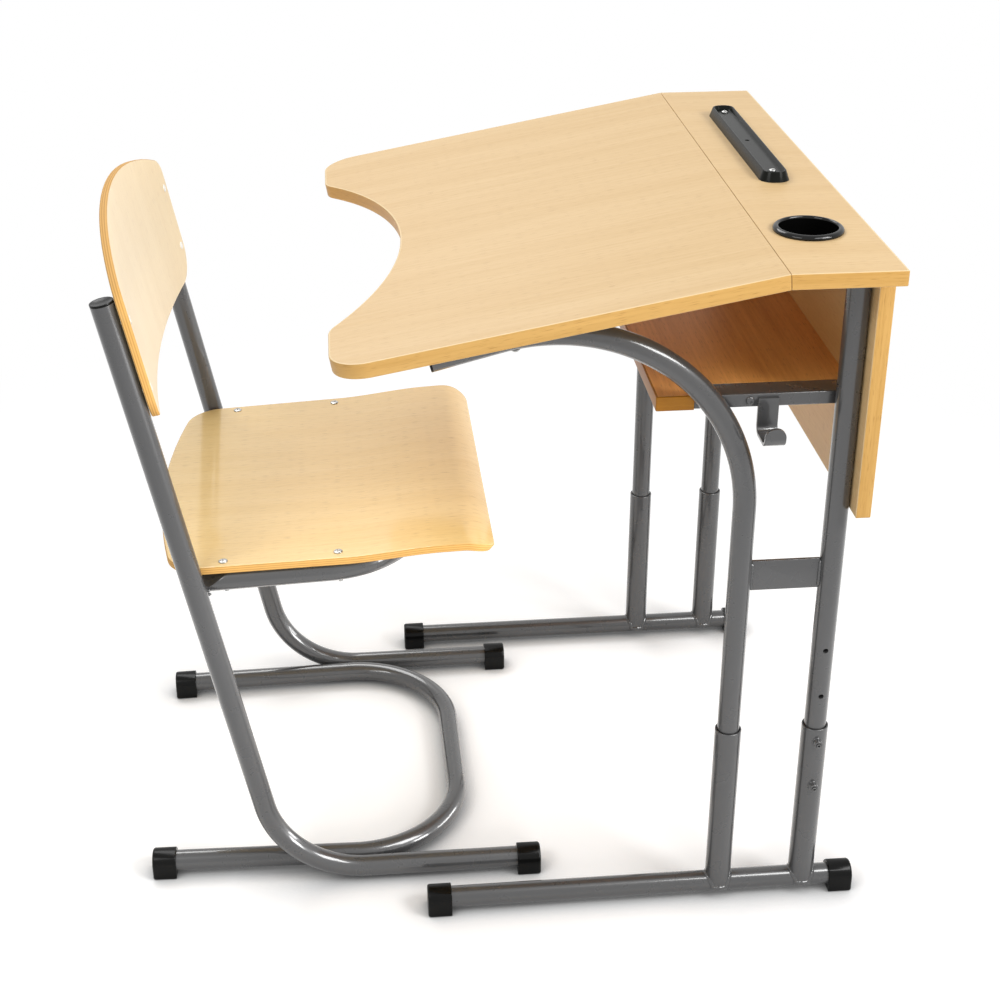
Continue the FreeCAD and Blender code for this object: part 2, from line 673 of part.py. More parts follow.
def shelf_screw_seats(side):
    """On the outer face of a shelf rail, behind the arm, pointing in."""
    return [{"x": f"max({ARM_AT_RAIL}; {LEG_X} - shelf_rail_nose) + shelf_screw_back",
             "y": f"{side} * {RAIL_FACE_Y}", "z": "shelf_top - rail_high / 2",
             "axis": X_AXIS, "angle": OUTWARD[side]}]


def shelf_rail(name, side):
    """A flat box tube welded to the inner sides of arm and rear leg."""
    label = f"shelf_rail_{name}"
    body = new_body(f"{label}_tube")
    section = sketch(body, "section", "YZ_Plane")
    rectangle(section, "-rail_wide / 2", "-rail_high", "rail_wide / 2", "0")
    rectangle(section, "-rail_wide / 2 + rail_wall", "-rail_high + rail_wall",
              "rail_wide / 2 - rail_wall", "-rail_wall")
    pad(body, section, f"{PANEL_X} - weld_gap - ({LEG_X} - shelf_rail_nose)")
    half = value("rail_wide / 2")
    round_edges(body, "rail_round",
                lambda edge: edge.BoundBox.XLength > half and abs(abs(edge.BoundBox.Center.y) - half) < NEAR)
    place(body, f"{LEG_X} - shelf_rail_nose", f"{side} * ({RAIL_FACE_Y} - rail_wide / 2)", "shelf_top")
    holes = drills(f"{label}_hole", SCREW_HOLE, "2 * rail_wide", shelf_screw_seats(side), "rail_wide")
    node(drilled(label, body, holes), label)


def shelf_rail_plugs():
    """Flat plugs in the front ends of the shelf rails."""
    plugs = []
    for name, side in SIDES:
        wide = "rail_wide - 2 * rail_wall - 2 * plastic_fit"
        high = "rail_high - 2 * rail_wall - 2 * plastic_fit"
        tongue = block(f"rail_plug_{name}", "plug_depth", wide, high)
        plugs.append(place(tongue, f"{LEG_X} - shelf_rail_nose",
                           f"{side} * ({RAIL_FACE_Y} - rail_wide / 2) - ({wide}) / 2",
                           "shelf_top - rail_high + rail_wall + plastic_fit"))
    node(together("shelf_rail_plugs", plugs), "shelf_rail_plugs")


def strip_screw_seats(side):
    """Under the plate on a rear leg, inside the leg."""
    return [{"x": f"{REAR_LEG_X} - top_plate_wide / 2 + {back}",
             "y": f"{side} * ({LEG_Y} + tube_od / 2 - top_plate_long + strip_screw_end)",
             "z": f"{STRIP_UNDER} - top_plate - weld_gap", "axis": X_AXIS, "angle": "180"}
            for back in ("strip_screw_edge", "strip_screw_edge + strip_screw_gap")]


def leg_plate(name, side):
    """A steel plate welded on top of a rear leg, screwed up into the rear strip."""
    label = f"leg_plate_{name}"
    inner = f"{side} * ({LEG_Y} + tube_od / 2 - top_plate_long / 2) - top_plate_long / 2"
    plate = block(f"{label}_blank", "top_plate_wide / 2 + tube_od / 2", "top_plate_long", "top_plate")
    place(plate, f"{REAR_LEG_X} - top_plate_wide / 2", inner, f"{STRIP_UNDER} - top_plate - weld_gap / 2")
    holes = drills(f"{label}_hole", SCREW_HOLE, "2 * top_plate", strip_screw_seats(side), "top_plate")
    node(drilled(label, plate, holes), label)


def strap_screw_seats():
    """Under both legs of each seam strap: square to the strip, and square to the worktop."""
    seats = []
    for _, side in SIDES:
        for across in ("-strap_wide / 4", "strap_wide / 4"):
            y = f"{side} * strap_span / 2 + {across}"
            seats.append({"x": f"{SEAM_X} + board * tan(slope / 2) + strap_screw", "y": y,
                          "z": f"{STRIP_UNDER} - strap - weld_gap", "axis": X_AXIS, "angle": "180"})
            spot = worktop_point("board * tan(slope / 2) + strap_screw", "board + strap + weld_gap")
            seats.append({**spot, "y": y, **INTO_WORKTOP})
    return seats


def seam_strap(name, side):
    """A flat strap bent to the slope, under the seam."""
    label = f"seam_strap_{name}"
    body = new_body(f"{label}_bent")
    section = sketch(body, "section", "XZ_Plane")
    reach_x = "-strap_leg * cos(slope)"
    reach_z = "-strap_leg * sin(slope)"
    outline(section, [("0", "0"), (reach_x, reach_z),
                      (f"{reach_x} + strap * sin(slope)", f"{reach_z} - strap * cos(slope)"),
                      ("strap * tan(slope / 2)", "-strap"), ("strap_leg", "-strap"), ("strap_leg", "0")])
    pad(body, section, "strap_wide", symmetric=True)
    place(body, f"{SEAM_X} + board * tan(slope / 2)", f"{side} * strap_span / 2", f"{STRIP_UNDER} - weld_gap")
    holes = drills(f"{label}_hole", SCREW_HOLE, "4 * strap", strap_screw_seats(), "4 * strap")
    node(drilled(label, body, holes), label)


def bag_hook():
    """A flat bar on the right rail, bent out and up, with a rounded tab."""
    body = new_body("bag_hook")
    path = sketch(body, "path", "YZ_Plane")
    low = "(-hook_drop + hook_plate / 2)"
    bent_line(path, [("0", "0"), ("0", low), ("-hook_reach", low), ("-hook_reach", f"{low} + hook_tab")],
              ["hook_bend", "hook_bend"])
    section = sketch(body, "section", "XY_Plane")
    rectangle(section, "-hook_wide / 2", "-hook_plate / 2", "hook_wide / 2", "hook_plate / 2")
    pipe = body.newObject("PartDesign::AdditivePipe", "bag_hook_pipe")
    pipe.Profile = section
    pipe.Spine = path
    document.recompute()
    tip_y = value("-hook_reach")
    tip_z = value(f"{low} + hook_tab")

    def on_tip(edge):
        box = edge.BoundBox
        return abs(box.Center.y - tip_y) < NEAR and box.ZMin > tip_z - NEAR and box.XLength < NEAR
    round_edges(body, "(hook_wide - hook_flat) / 2", on_tip)
    place(body, f"{LEG_X} + hook_back", f"-({RAIL_FACE_Y} + hook_plate / 2 + weld_gap)",
          "shelf_top - hook_top_inset")
    node(body, "bag_hook")


def desk_frame():
    for (name, side), seat in zip(SIDES, arm_screw_seats()):
        arm(name, side, seat)
        rear_leg(name, side)
        brace(name, side)
        shelf_rail(name, side)
        leg_plate(name, side)
        seam_strap(name, side)
    arm_plugs()
    shelf_rail_plugs()
    bag_hook()


# Desk boards: each a core with an edge band round its open edges

def banded(label, blank, drill_tools):
    """A board's core with its holes, and the band that closes the core's edges."""
    core = blank(f"{label}_core", "band")
    band = cut(f"{label}_edge_band", blank(f"{label}_whole", "0"), blank(f"{label}_inside", "band"))
    node(drilled(label, core, drill_tools), label)
    node(band, f"{label}_edge_band")


def worktop_blank(name, inset):
    """The sloped board: round corners, a chest cut-out, and a mitre at the seam."""
    body = new_body(name)
    front = f"(worktop_depth - {inset})"
    half = f"(desk_width / 2 - {inset})"
    face = sketch(body, "face", "XY_Plane")
    rectangle(face, f"-{front}", f"-{half}", "-seam_gap / 2", half)
    pad(body, face, "board", downwards=True)
    mitre = sketch(body, "mitre", "XZ_Plane")
    outline(mitre, [("-seam_gap / 2", "0"), ("-seam_gap / 2 - board * tan(slope / 2)", "-board"),
                    ("board", "-board"), ("board", "0")])
    pocket(body, mitre, "2 * desk_width", symmetric=True)
    chest = sketch(body, "chest", "XY_Plane")
    centre = "(worktop_depth - chest_depth + chest_radius)"
    circle(chest, f"chest_radius + {inset}", f"-{centre}")
    pocket(body, chest, "4 * board", symmetric=True)
    front_x = -value(front)
    chest_y = math.sqrt(value(f"chest_radius + {inset}") ** 2 - value(f"{centre} - {front}") ** 2)
    round_edges(body, f"chest_round - {inset}", stands_at([(front_x, chest_y), (front_x, -chest_y)]))
    corners = [(front_x, value(half)), (front_x, -value(half))]
    round_edges(body, f"worktop_corner - {inset}", stands_at(corners))
    return place(body, SEAM_X, "0", "strip_top", TILT_AXIS, "slope")


def strip_blank(name, inset):
    """The level board behind the seam."""
    body = new_body(name)
    half = f"(desk_width / 2 - {inset})"
    face = sketch(body, "face", "XY_Plane")
    rectangle(face, "seam_gap / 2", f"-{half}", f"strip_depth - {inset}", half)
    pad(body, face, "board", downwards=True)
    mitre = sketch(body, "mitre", "XZ_Plane")
    outline(mitre, [("seam_gap / 2", "0"), ("seam_gap / 2 + board * tan(slope / 2)", "-board"),
                    ("-board", "-board"), ("-board", "0")])
    pocket(body, mitre, "2 * desk_width", symmetric=True)
    return place(body, SEAM_X, "0", "strip_top")


def panel_blank(name, inset):
    """The front panel behind the rear legs, under the strip."""
    inwards = f"(modesty_inset + {inset})"
    panel = block(name, "board", f"desk_width - 2 * {inwards}",
                  f"{STRIP_UNDER} - weld_gap - modesty_bottom - 2 * {inset}")
    return place(panel, PANEL_X, f"{inwards} - desk_width / 2", f"modesty_bottom + {inset}")


def shelf_blank(name, inset):
    """The shelf: full width in front, notched behind to lie between its rails."""
    body = new_body(name)
    nose = f"{LEG_X} - shelf_nose + {inset}"
    notch = f"{LEG_X} - shelf_rail_nose - weld_gap"
    tail = f"{PANEL_X} - weld_gap"
    wide = f"({RAIL_FACE_Y} - {inset})"
    narrow = f"({RAIL_FACE_Y} - rail_wide - weld_gap)"
    face = sketch(body, "face", "XY_Plane")
    outline(face, [(nose, f"-{wide}"), (notch, f"-{wide}"), (notch, f"-{narrow}"), (tail, f"-{narrow}"),
                   (tail, narrow), (notch, narrow), (notch, wide), (nose, wide)])
    pad(body, face, "board", downwards=True)
    return place(body, z="shelf_top")


def tray_screw_seats():
    """In the tray's floor, near its ends."""
    return [{"x": f"{LEG_X} + tray_back", "y": f"tray_side + {end} * tray_screws / 2",
             "z": "strip_top + tray_high - tray_sink"} for end in (-1, 1)]


def desk_boards():
    bite = "(weld_gap + screw_bite + hole_deeper)"
    strip_straps, worktop_straps = strap_screw_seats()[0::2], strap_screw_seats()[1::2]
    into_worktop = drills("worktop_hole", SCREW_HOLE, f"tube_od + {bite}", arm_screw_seats())
    into_worktop += drills("worktop_strap_hole", SCREW_HOLE, f"strap + {bite}", worktop_straps)
    banded("worktop", worktop_blank, into_worktop)
    into_strip = drills("strip_strap_hole", SCREW_HOLE, f"strap + {bite}", strip_straps)
    for name, side in SIDES:
        into_strip += drills(f"strip_{name}_hole", SCREW_HOLE, f"top_plate + {bite}", strip_screw_seats(side))
    into_strip += drills("strip_tray_hole", SCREW_HOLE, f"tray_high - tray_sink + {bite}", tray_screw_seats())
    cup_hole = cylinder("strip_cup_hole", "cup_bore / 2 + cup_wall + cup_play", "4 * board")
    into_strip.append(place(cup_hole, f"{LEG_X} + cup_back", CUP_Y, "strip_top - 2 * board"))
    banded("rear_strip", strip_blank, into_strip)
    into_panel = []
    into_shelf = []
    for name, side in SIDES:
        into_panel += drills(f"panel_{name}_hole", SCREW_HOLE, "2 * board", panel_screw_seats(side), "board")
        into_shelf += drills(f"shelf_{name}_hole", SCREW_HOLE, f"rail_wide + {bite}", shelf_screw_seats(side))
    banded("front_panel", panel_blank, into_panel)
    banded("shelf", shelf_blank, into_shelf)


# Fittings and screws of the desk

def rounded_box(drawing, half_x, half_y, corner):
    """An outline with four round corners."""
    flat_x = f"({half_x} - ({corner}))"
    flat_y = f"({half_y} - ({corner}))"
    outline(drawing, [(f"-{flat_x}", f"-{half_y}"), (flat_x, f"-{half_y}"),
                      (half_x, f"-{flat_y}"), (half_x, flat_y),
                      (flat_x, half_y), (f"-{flat_x}", half_y),
                      (f"-{half_x}", flat_y), (f"-{half_x}", f"-{flat_y}")],
            {side: (corner, 1) for side in (1, 3, 5, 7)})


def loft(body, kind, low, high):
    feature = body.newObject(f"PartDesign::{kind}", f"{low.Name}_loft")
    feature.Profile = low
    feature.Sections = [high]
    document.recompute()


def pen_tray():
    """A raised trough with drafted sides, screwed down through its floor."""
    body = new_body("pen_tray_body")
    half_x = "(tray_wide / 2)"
    half_y = "(tray_long / 2)"

    def ring(name, height, inset):
        drawing = sketch(body, name, "XY_Plane", height)
        rounded_box(drawing, f"({half_x} - {inset})", f"({half_y} - {inset})", f"tray_corner - {inset}")
        return drawing
    loft(body, "AdditiveLoft", ring("foot", "0", "0"), ring("rim", "tray_high", "tray_draft"))
    mouth = ring("mouth", "tray_high", "(tray_draft + tray_rim)")
    floor = ring("floor", "tray_high - tray_sink", "(tray_draft + tray_rim + tray_floor_draft)")
    loft(body, "SubtractiveLoft", mouth, floor)
    place(body, f"{LEG_X} + tray_back", "tray_side", "strip_top")
    holes = drills("tray_hole", SCREW_HOLE, "2 * tray_high", tray_screw_seats(), "tray_high")
    middle = cylinder("tray_middle_hole", SCREW_HOLE, "2 * tray_high")
    holes.append(place(middle, f"{LEG_X} + tray_back", "tray_side", "strip_top"))
    node(drilled("pen_tray", body, holes), "pen_tray")


def cup_insert():
    """A plastic cup that hangs by its flange in the rear strip."""
    inside = "cup_bore / 2"
    outside = "cup_bore / 2 + cup_wall"
    body = turned("cup_insert", [("0", "-cup_depth"), (outside, "-cup_depth"), (outside, "0"),
                                 ("cup_flange / 2", "0"), ("cup_flange / 2", "cup_rim / 3"),
                                 (f"{outside} + cup_wall", "cup_rim"), (outside, "cup_rim"),
                                 (inside, "cup_rim / 2"), (inside, "-cup_depth + cup_wall"),
                                 ("0", "-cup_depth + cup_wall")])
    place(body, f"{LEG_X} + cup_back", CUP_Y, "strip_top")
    node(body, "cup_insert")


def desk_screws():
    """Wood screws, one length for each job."""
    def wood_screw(name, length):
        return screw(name, "screw_head", "screw_head_high", "screw_d", length)
    strip_seats = strip_screw_seats(RIGHT) + strip_screw_seats(LEFT)
    panel_seats = panel_screw_seats(RIGHT) + panel_screw_seats(LEFT)
    shelf_seats = shelf_screw_seats(RIGHT) + shelf_screw_seats(LEFT)
    bite = "weld_gap + screw_bite"
    through_tray = f"tray_high - tray_sink + {bite}"
    into_leg = "board + weld_gap + tube_wall + panel_screw_grip"
    copies("arm_screws", wood_screw("arm_screw", f"tube_od + {bite}"), arm_screw_seats())
    copies("strip_screws", wood_screw("strip_screw", f"top_plate + {bite}"), strip_seats)
    copies("strap_screws", wood_screw("strap_screw", f"strap + {bite}"), strap_screw_seats())
    copies("panel_screws", wood_screw("panel_screw", into_leg), panel_seats)
    copies("shelf_screws", wood_screw("shelf_screw", f"rail_wide + {bite}"), shelf_seats)
    copies("tray_screws_pair", wood_screw("tray_screw", through_tray), tray_screw_seats())


# Chair frame: two side tubes, a floor loop and a seat support

SEAT_X = f"({CHAIR_X} + seat_set)"
POST_FOOT_X = f"({POST_X} + (post_top - {FLOOR_AXIS}) * tan(post_lean))"
FRONT_END_X = f"({CHAIR_X} + chair_length - cap_end)"
LOOP_X = f"({CHAIR_X} + (cap_width / 2 - cap_round) * sin(loop_taper))"
LOOP_START = "(cap_end + tube_od * tan(loop_taper))"
LOOP_CORNER_Y = (f"({INNER_Y} + loop_bend * (tan(45 + loop_taper / 2) * sin(loop_taper)"
                 " - 1 + cos(loop_taper)))")
SEAT_TILT = {"axis": TILT_AXIS, "angle": "seat_slope"}
POST_TILT = {"axis": TILT_AXIS, "angle": "post_lean"}


def seat_point(ahead, below):
    """World x and z of a point this far ahead of the seat's rear edge, and below its face."""
    x = f"({SEAT_X} + ({ahead}) * cos(seat_slope) + ({below}) * sin(seat_slope))"
    z = f"(seat_rear_top + ({ahead}) * sin(seat_slope) - ({below}) * cos(seat_slope))"
    return {"x": x, "z": z}


def post_point(below, ahead):
    """World x and z of a point this far down a post from its end, and ahead of its axis."""
    x = f"({POST_X} + ({below}) * sin(post_lean) + ({ahead}) * cos(post_lean))"
    z = f"(post_top - ({below}) * cos(post_lean) + ({ahead}) * sin(post_lean))"
    return {"x": x, "z": z}


def seat_bolt_seats():
    """On the seat's face, over the support's legs."""
    return [{**seat_point(ahead, "0"), "y": f"{side} * {INNER_Y}", **SEAT_TILT}
            for _, side in SIDES for ahead in ("bolt_rear", "bolt_rear + bolt_gap")]


def rivet_seats(side):
    """On the backrest's front face, square to it, over a post."""
    ahead = f"({BACK_CENTRE} - back_bow * cos({BACK_SIDE}))"
    across = f"{side} * back_bow * sin({BACK_SIDE})"
    return [{**post_point(below, ahead), "y": across} for below in ("rivet_high", "rivet_high + rivet_gap")]


def side_tube(name, side):
    """From its front cap along the floor, round a bend and up the leaning post."""
    label = f"side_tube_{name}"
    corners = [("0", "0"), (f"{POST_FOOT_X} - {FRONT_END_X}", "0"),
               (f"{POST_X} - {FRONT_END_X}", f"post_top - {FLOOR_AXIS}")]
    body = bent_tube(f"{label}_bent", "XZ_Plane", corners, ["foot_bend"], "YZ_Plane")
    place(body, FRONT_END_X, f"{side} * {POST_Y}", FLOOR_AXIS)
    node(drilled(label, body, rivet_drills(f"{label}_hole", side)), label)


def loop_leg_y(ahead):
    """Half the distance between the floor loop's legs, this far ahead of their caps."""
    return f"({LOOP_CORNER_Y} - (loop_nose - {ahead}) * tan(loop_taper))"


def floor_loop():
    """A flat U on the floor that touches the side tubes at its bends and closes in behind."""
    legs = loop_leg_y(LOOP_START)
    reach = f"(loop_nose - {LOOP_START})"
    corners = [("0", f"-{legs}"), (reach, f"-{LOOP_CORNER_Y}"), (reach, LOOP_CORNER_Y), ("0", legs)]
    body = bent_tube("floor_loop", "XY_Plane", corners, ["loop_bend", "loop_bend"], "YZ_Plane", f"-{legs}")
    place(body, f"{LOOP_X} + {LOOP_START}", "0", FLOOR_AXIS)
    node(body, "floor_loop")


def seat_support():
    """A U under the seat, welded to the posts, with holes for the seat bolts."""
    reach = "(support_nose - support_tail)"
    corners = [("0", f"-{INNER_Y}"), (reach, f"-{INNER_Y}"), (reach, INNER_Y), ("0", INNER_Y)]
    body = bent_tube("seat_support_bent", "XY_Plane", corners, ["support_bend", "support_bend"], "YZ_Plane",
                     f"-{INNER_Y}")
    spot = seat_point("support_tail - seat_set", "ply + weld_gap + tube_od / 2")
    place(body, spot["x"], "0", spot["z"], **SEAT_TILT)
    holes = drills("support_hole", BOLT_HOLE, "3 * tube_od", seat_bolt_seats())
    node(drilled("seat_support", body, holes), "seat_support")


# Seat and backrest: bent plywood sheets, cut to their outlines

def common(name, base, tool):
    piece = document.addObject("Part::Common", name)
    piece.Base = base
    piece.Tool = tool
    return piece


def seat_sheet():
    """The seat's bent section, drawn from the side and carried across."""
    body = new_body("seat_sheet")
    section = sketch(body, "section", "XZ_Plane")
    flat = "(seat_depth - lip_bend * sin(lip_turn))"
    inner = "(lip_bend - ply)"
    outline(section, [("0", "0"), ("0", "-ply"), (flat, "-ply"),
                      (f"{flat} + {inner} * sin(lip_turn)", f"-lip_bend + {inner} * cos(lip_turn)"),
                      (f"{flat} + lip_bend * sin(lip_turn)", "-lip_bend + lip_bend * cos(lip_turn)"),
                      (flat, "0")],
            {2: (inner, -1), 4: ("lip_bend", 1)})
    pad(body, section, "2 * seat_front", symmetric=True)
    return body


def seat_plan():
    """The seat's outline from above: arched behind, straight in front."""
    body = new_body("seat_plan")
    face = sketch(body, "face", "XY_Plane")
    front_x = value("seat_depth")
    front_y = value("seat_front / 2")
    rear_x = value("seat_rear_sweep")
    rear_y = value("seat_rear / 2")
    rear_radius = "((pow(seat_rear / 2; 2) + pow(seat_rear_sweep; 2)) / (2 * seat_rear_sweep))"
    outline(face, [("seat_depth", "seat_front / 2"), ("seat_rear_sweep", "seat_rear / 2"),
                   ("seat_rear_sweep", "-seat_rear / 2"), ("seat_depth", "-seat_front / 2")],
            {1: (rear_radius, 1)})
    pad(body, face, "2 * (lip_bend + ply)", symmetric=True)
    round_edges(body, "seat_rear_corner", stands_at([(rear_x, rear_y), (rear_x, -rear_y)]))
    round_edges(body, "seat_front_corner", stands_at([(front_x, front_y), (front_x, -front_y)]))
    return body


def seat():
    sheet_body = seat_sheet()
    plan = seat_plan()
    blank = common("seat_blank", sheet_body, plan)
    spot = seat_point("0", "0")
    place(blank, spot["x"], "0", spot["z"], **SEAT_TILT)
    holes = drills("seat_hole", BOLT_HOLE, "3 * ply", seat_bolt_seats(), "ply")
    node(drilled("seat", blank, holes), "seat")


def rivet_drills(name, side):
    """Holes through backrest and post, square to the backrest."""
    tools = []
    for number, seat_spot in enumerate(rivet_seats(side)):
        rod = cylinder(f"{name}_rod_{number}", BOLT_HOLE, "2 * ply + tube_od / 2")
        place(rod, z="-(ply + tube_od / 2)")
        tools.append(rivet_link(f"{name}_{number}", rod, seat_spot, side))
    return tools


def rivet_link(name, master, seat_spot, side):
    """A piece whose Z axis is turned to stand square on the backrest over a post."""
    across = document.addObject("App::Link", f"{name}_across")
    across.LinkedObject = master
    across.LinkTransform = True
    square = FreeCAD.Rotation(FreeCAD.Vector(0, 1, 0), 90)
    across.Placement = FreeCAD.Placement(FreeCAD.Vector(), square)
    swung = document.addObject("App::Link", f"{name}_swung")
    swung.LinkedObject = across
    swung.LinkTransform = True
    place(swung, axis=Z_AXIS, angle=f"-({side}) * {BACK_SIDE}")
    leaned = document.addObject("App::Link", name)
    leaned.LinkedObject = swung
    leaned.LinkTransform = True
    return place(leaned, seat_spot["x"], seat_spot["y"], seat_spot["z"], **POST_TILT)


def backrest():
    """A sheet bowed across the posts, arched above, with round corners."""
    bowed = new_body("back_sheet")
    section = sketch(bowed, "section", "XY_Plane")
    reach = "(back_half + ply)"
    front = f"({BACK_CENTRE} - sqrt(pow(back_bow; 2) - pow({reach}; 2)))"
    rear = f"({BACK_CENTRE} - sqrt(pow(back_bow + ply; 2) - pow({reach}; 2)))"
    outline(section, [(front, f"-{reach}"), (front, reach), (rear, reach), (rear, f"-{reach}")],
            {0: ("back_bow", -1), 2: ("back_bow + ply", 1)})
    pad(bowed, section, "2 * (back_low + back_high)", symmetric=True)
    shape = new_body("back_outline")
    face = sketch(shape, "face", "YZ_Plane")
    side_high = "(back_high - back_arch + sqrt(pow(back_arch; 2) - pow(back_half; 2)))"
    outline(face, [("-back_half", "-back_low"), ("back_half", "-back_low"),
                   ("back_half", side_high), ("-back_half", side_high)],
            {2: ("back_arch", 1)})
    pad(shape, face, "back_half", symmetric=True)
    half = value("back_half")

    def corner_at(height):
        def chosen(edge):
            middle = edge.BoundBox.Center
            lies = edge.BoundBox.XLength > half / 2 and edge.BoundBox.ZLength < NEAR
            return lies and abs(abs(middle.y) - half) < NEAR and abs(middle.z - height) < NEAR
        return chosen
    round_edges(shape, "back_low_corner", corner_at(-value("back_low")))
    round_edges(shape, "back_high_corner", corner_at(value(side_high)))
    blank = common("back_blank", bowed, shape)
    place(blank, POST_X, "0", "post_top", **POST_TILT)
    holes = rivet_drills("back_hole_right", RIGHT) + rivet_drills("back_hole_left", LEFT)
    node(drilled("backrest", blank, holes), "backrest")


def chair_fasteners():
    """Seat bolts, back rivets, and the plugs in the posts."""
    through = "ply + weld_gap + tube_od + bolt_proud"
    seat_bolt = screw("seat_bolt", "bolt_head", "bolt_head_high", "bolt_d", through)
    copies("seat_bolts", seat_bolt, seat_bolt_seats())
    into_post = "ply + weld_gap + tube_wall + rivet_tail"
    rivet = screw("back_rivet", "rivet_head", "rivet_head_high", "bolt_d", into_post)
    rivets = []
    for name, side in SIDES:
        for number, seat_spot in enumerate(rivet_seats(side)):
            rivets.append(rivet_link(f"back_rivet_{name}_{number}", rivet, seat_spot, side))
    node(together("back_rivets", rivets), "back_rivets")
    plug_seats = [{"x": POST_X, "y": f"{side} * {POST_Y}", "z": "post_top", **POST_TILT} for _, side in SIDES]
    copies("post_plugs", plug, plug_seats)


def chair():
    for name, side in SIDES:
        side_tube(name, side)
        foot_cap(f"chair_front_cap_{name}", f"{CHAIR_X} + chair_length", f"{side} * {POST_Y}", "180")
        foot_cap(f"chair_rear_cap_{name}", LOOP_X, f"{side} * {loop_leg_y('0')}", f"{side} * loop_taper")
    floor_loop()
    seat_support()
    seat()
    backrest()
    chair_fasteners()


def check_document():
    """Stop at anything that failed to build."""
    for piece in document.Objects:
        if "Invalid" in piece.State or "Error" in piece.State:
            raise ValueError(f"{piece.Name} failed: {piece.State}")
    for piece in nodes:
        if piece.Shape.isNull() or not piece.Shape.isValid() or not piece.Shape.Solids:
            raise ValueError(f"{piece.Label} has no sound shape")


desk_base()
desk_frame()
desk_boards()
pen_tray()
cup_insert()
desk_screws()
chair()
document.recompute()
check_document()
os.makedirs("parts", exist_ok=True)
for piece in nodes:
    piece.Shape.exportStep(f"parts/{piece.Label}.step")
print(len(nodes), "nodes")
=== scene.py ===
import json
import math

import bpy
import numpy as np
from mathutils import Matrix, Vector

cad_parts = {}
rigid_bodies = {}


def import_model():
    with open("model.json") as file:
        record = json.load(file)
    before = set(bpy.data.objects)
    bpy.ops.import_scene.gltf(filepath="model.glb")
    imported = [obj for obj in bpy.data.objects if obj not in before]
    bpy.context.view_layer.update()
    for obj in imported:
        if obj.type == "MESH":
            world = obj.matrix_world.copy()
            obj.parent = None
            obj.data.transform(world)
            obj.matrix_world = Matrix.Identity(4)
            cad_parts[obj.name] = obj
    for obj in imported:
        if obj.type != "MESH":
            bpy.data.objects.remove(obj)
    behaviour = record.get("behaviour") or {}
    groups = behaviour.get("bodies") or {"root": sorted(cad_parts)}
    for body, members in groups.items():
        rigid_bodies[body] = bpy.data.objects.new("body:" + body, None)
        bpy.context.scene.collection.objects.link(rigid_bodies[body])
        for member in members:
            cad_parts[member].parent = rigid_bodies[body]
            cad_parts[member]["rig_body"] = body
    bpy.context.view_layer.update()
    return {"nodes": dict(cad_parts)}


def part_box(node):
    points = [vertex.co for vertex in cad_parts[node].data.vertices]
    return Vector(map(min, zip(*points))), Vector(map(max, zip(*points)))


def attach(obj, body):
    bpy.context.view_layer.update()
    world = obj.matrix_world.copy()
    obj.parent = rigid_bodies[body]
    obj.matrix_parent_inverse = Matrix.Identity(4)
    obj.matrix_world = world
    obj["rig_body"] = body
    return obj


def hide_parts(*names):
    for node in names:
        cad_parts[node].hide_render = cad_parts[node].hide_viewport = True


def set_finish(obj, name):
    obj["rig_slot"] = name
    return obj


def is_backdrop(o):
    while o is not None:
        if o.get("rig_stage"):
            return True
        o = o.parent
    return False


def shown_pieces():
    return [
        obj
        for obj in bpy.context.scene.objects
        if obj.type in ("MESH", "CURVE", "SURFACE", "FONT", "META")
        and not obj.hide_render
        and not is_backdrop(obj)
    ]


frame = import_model()

# Foot rails
# Two straight lengths of round steel tube along the floor, one under each side of the desk. They are sawn
# square, carry the welded sleeves, and are sprayed glossy grey together with the rest of the frame.

tube_radius = 0.0125
sides = (("right", -1), ("left", 1))


def add_node(tree, kind, inputs, **settings):
    """A shader node with its settings. Each input is a value, or another node's output to be joined to it."""
    made = tree.nodes.new("ShaderNode" + kind)
    for name, value in settings.items():
        setattr(made, name, value)
    for socket, value in inputs.items():
        if isinstance(value, bpy.types.NodeSocket):
            tree.links.new(value, made.inputs[socket])
        else:
            made.inputs[socket].default_value = value
    return made


def worked(tree, operation, *values):
    """The outcome of a sum on values or on other nodes' outputs."""
    return add_node(tree, "Math", dict(enumerate(values)), operation=operation).outputs["Value"]


def ranged(tree, value, **limits):
    """A value carried from one range to another."""
    limits = {label.replace("_", " ").title(): limit for label, limit in limits.items()}
    return add_node(tree, "MapRange", {"Value": value, **limits}).outputs["Result"]


def noise(tree, place, scale, detail):
    """Cloudy noise over a place."""
    return add_node(tree, "TexNoise", {"Vector": place, "Scale": scale, "Detail": detail}).outputs["Fac"]


def new_group(name, inputs, outputs):
    """An empty node group with named sockets: the group, what it is given, and what it gives out."""
    group = bpy.data.node_groups.new(name, "ShaderNodeTree")
    for way, sockets in (("INPUT", inputs), ("OUTPUT", outputs)):
        for label, kind in sockets.items():
            group.interface.new_socket(label, in_out=way, socket_type="NodeSocket" + kind)
    return group, group.nodes.new("NodeGroupInput").outputs, group.nodes.new("NodeGroupOutput").inputs


def new_finish(name, **constants):
    """An empty material: its node tree, and its shader with the inputs that are the same all over."""
    material = bpy.data.materials.new(name)
    material.use_nodes = True
    tree = material.node_tree
    tree.nodes.clear()
    shader = add_node(tree, "BsdfPrincipled", {})
    for label, value in constants.items():
        shader.inputs[label.replace("_", " ").title().replace("Ior", "IOR")].default_value = value
    add_node(tree, "OutputMaterial", {"Surface": shader.outputs["BSDF"]})
    return material, tree, shader


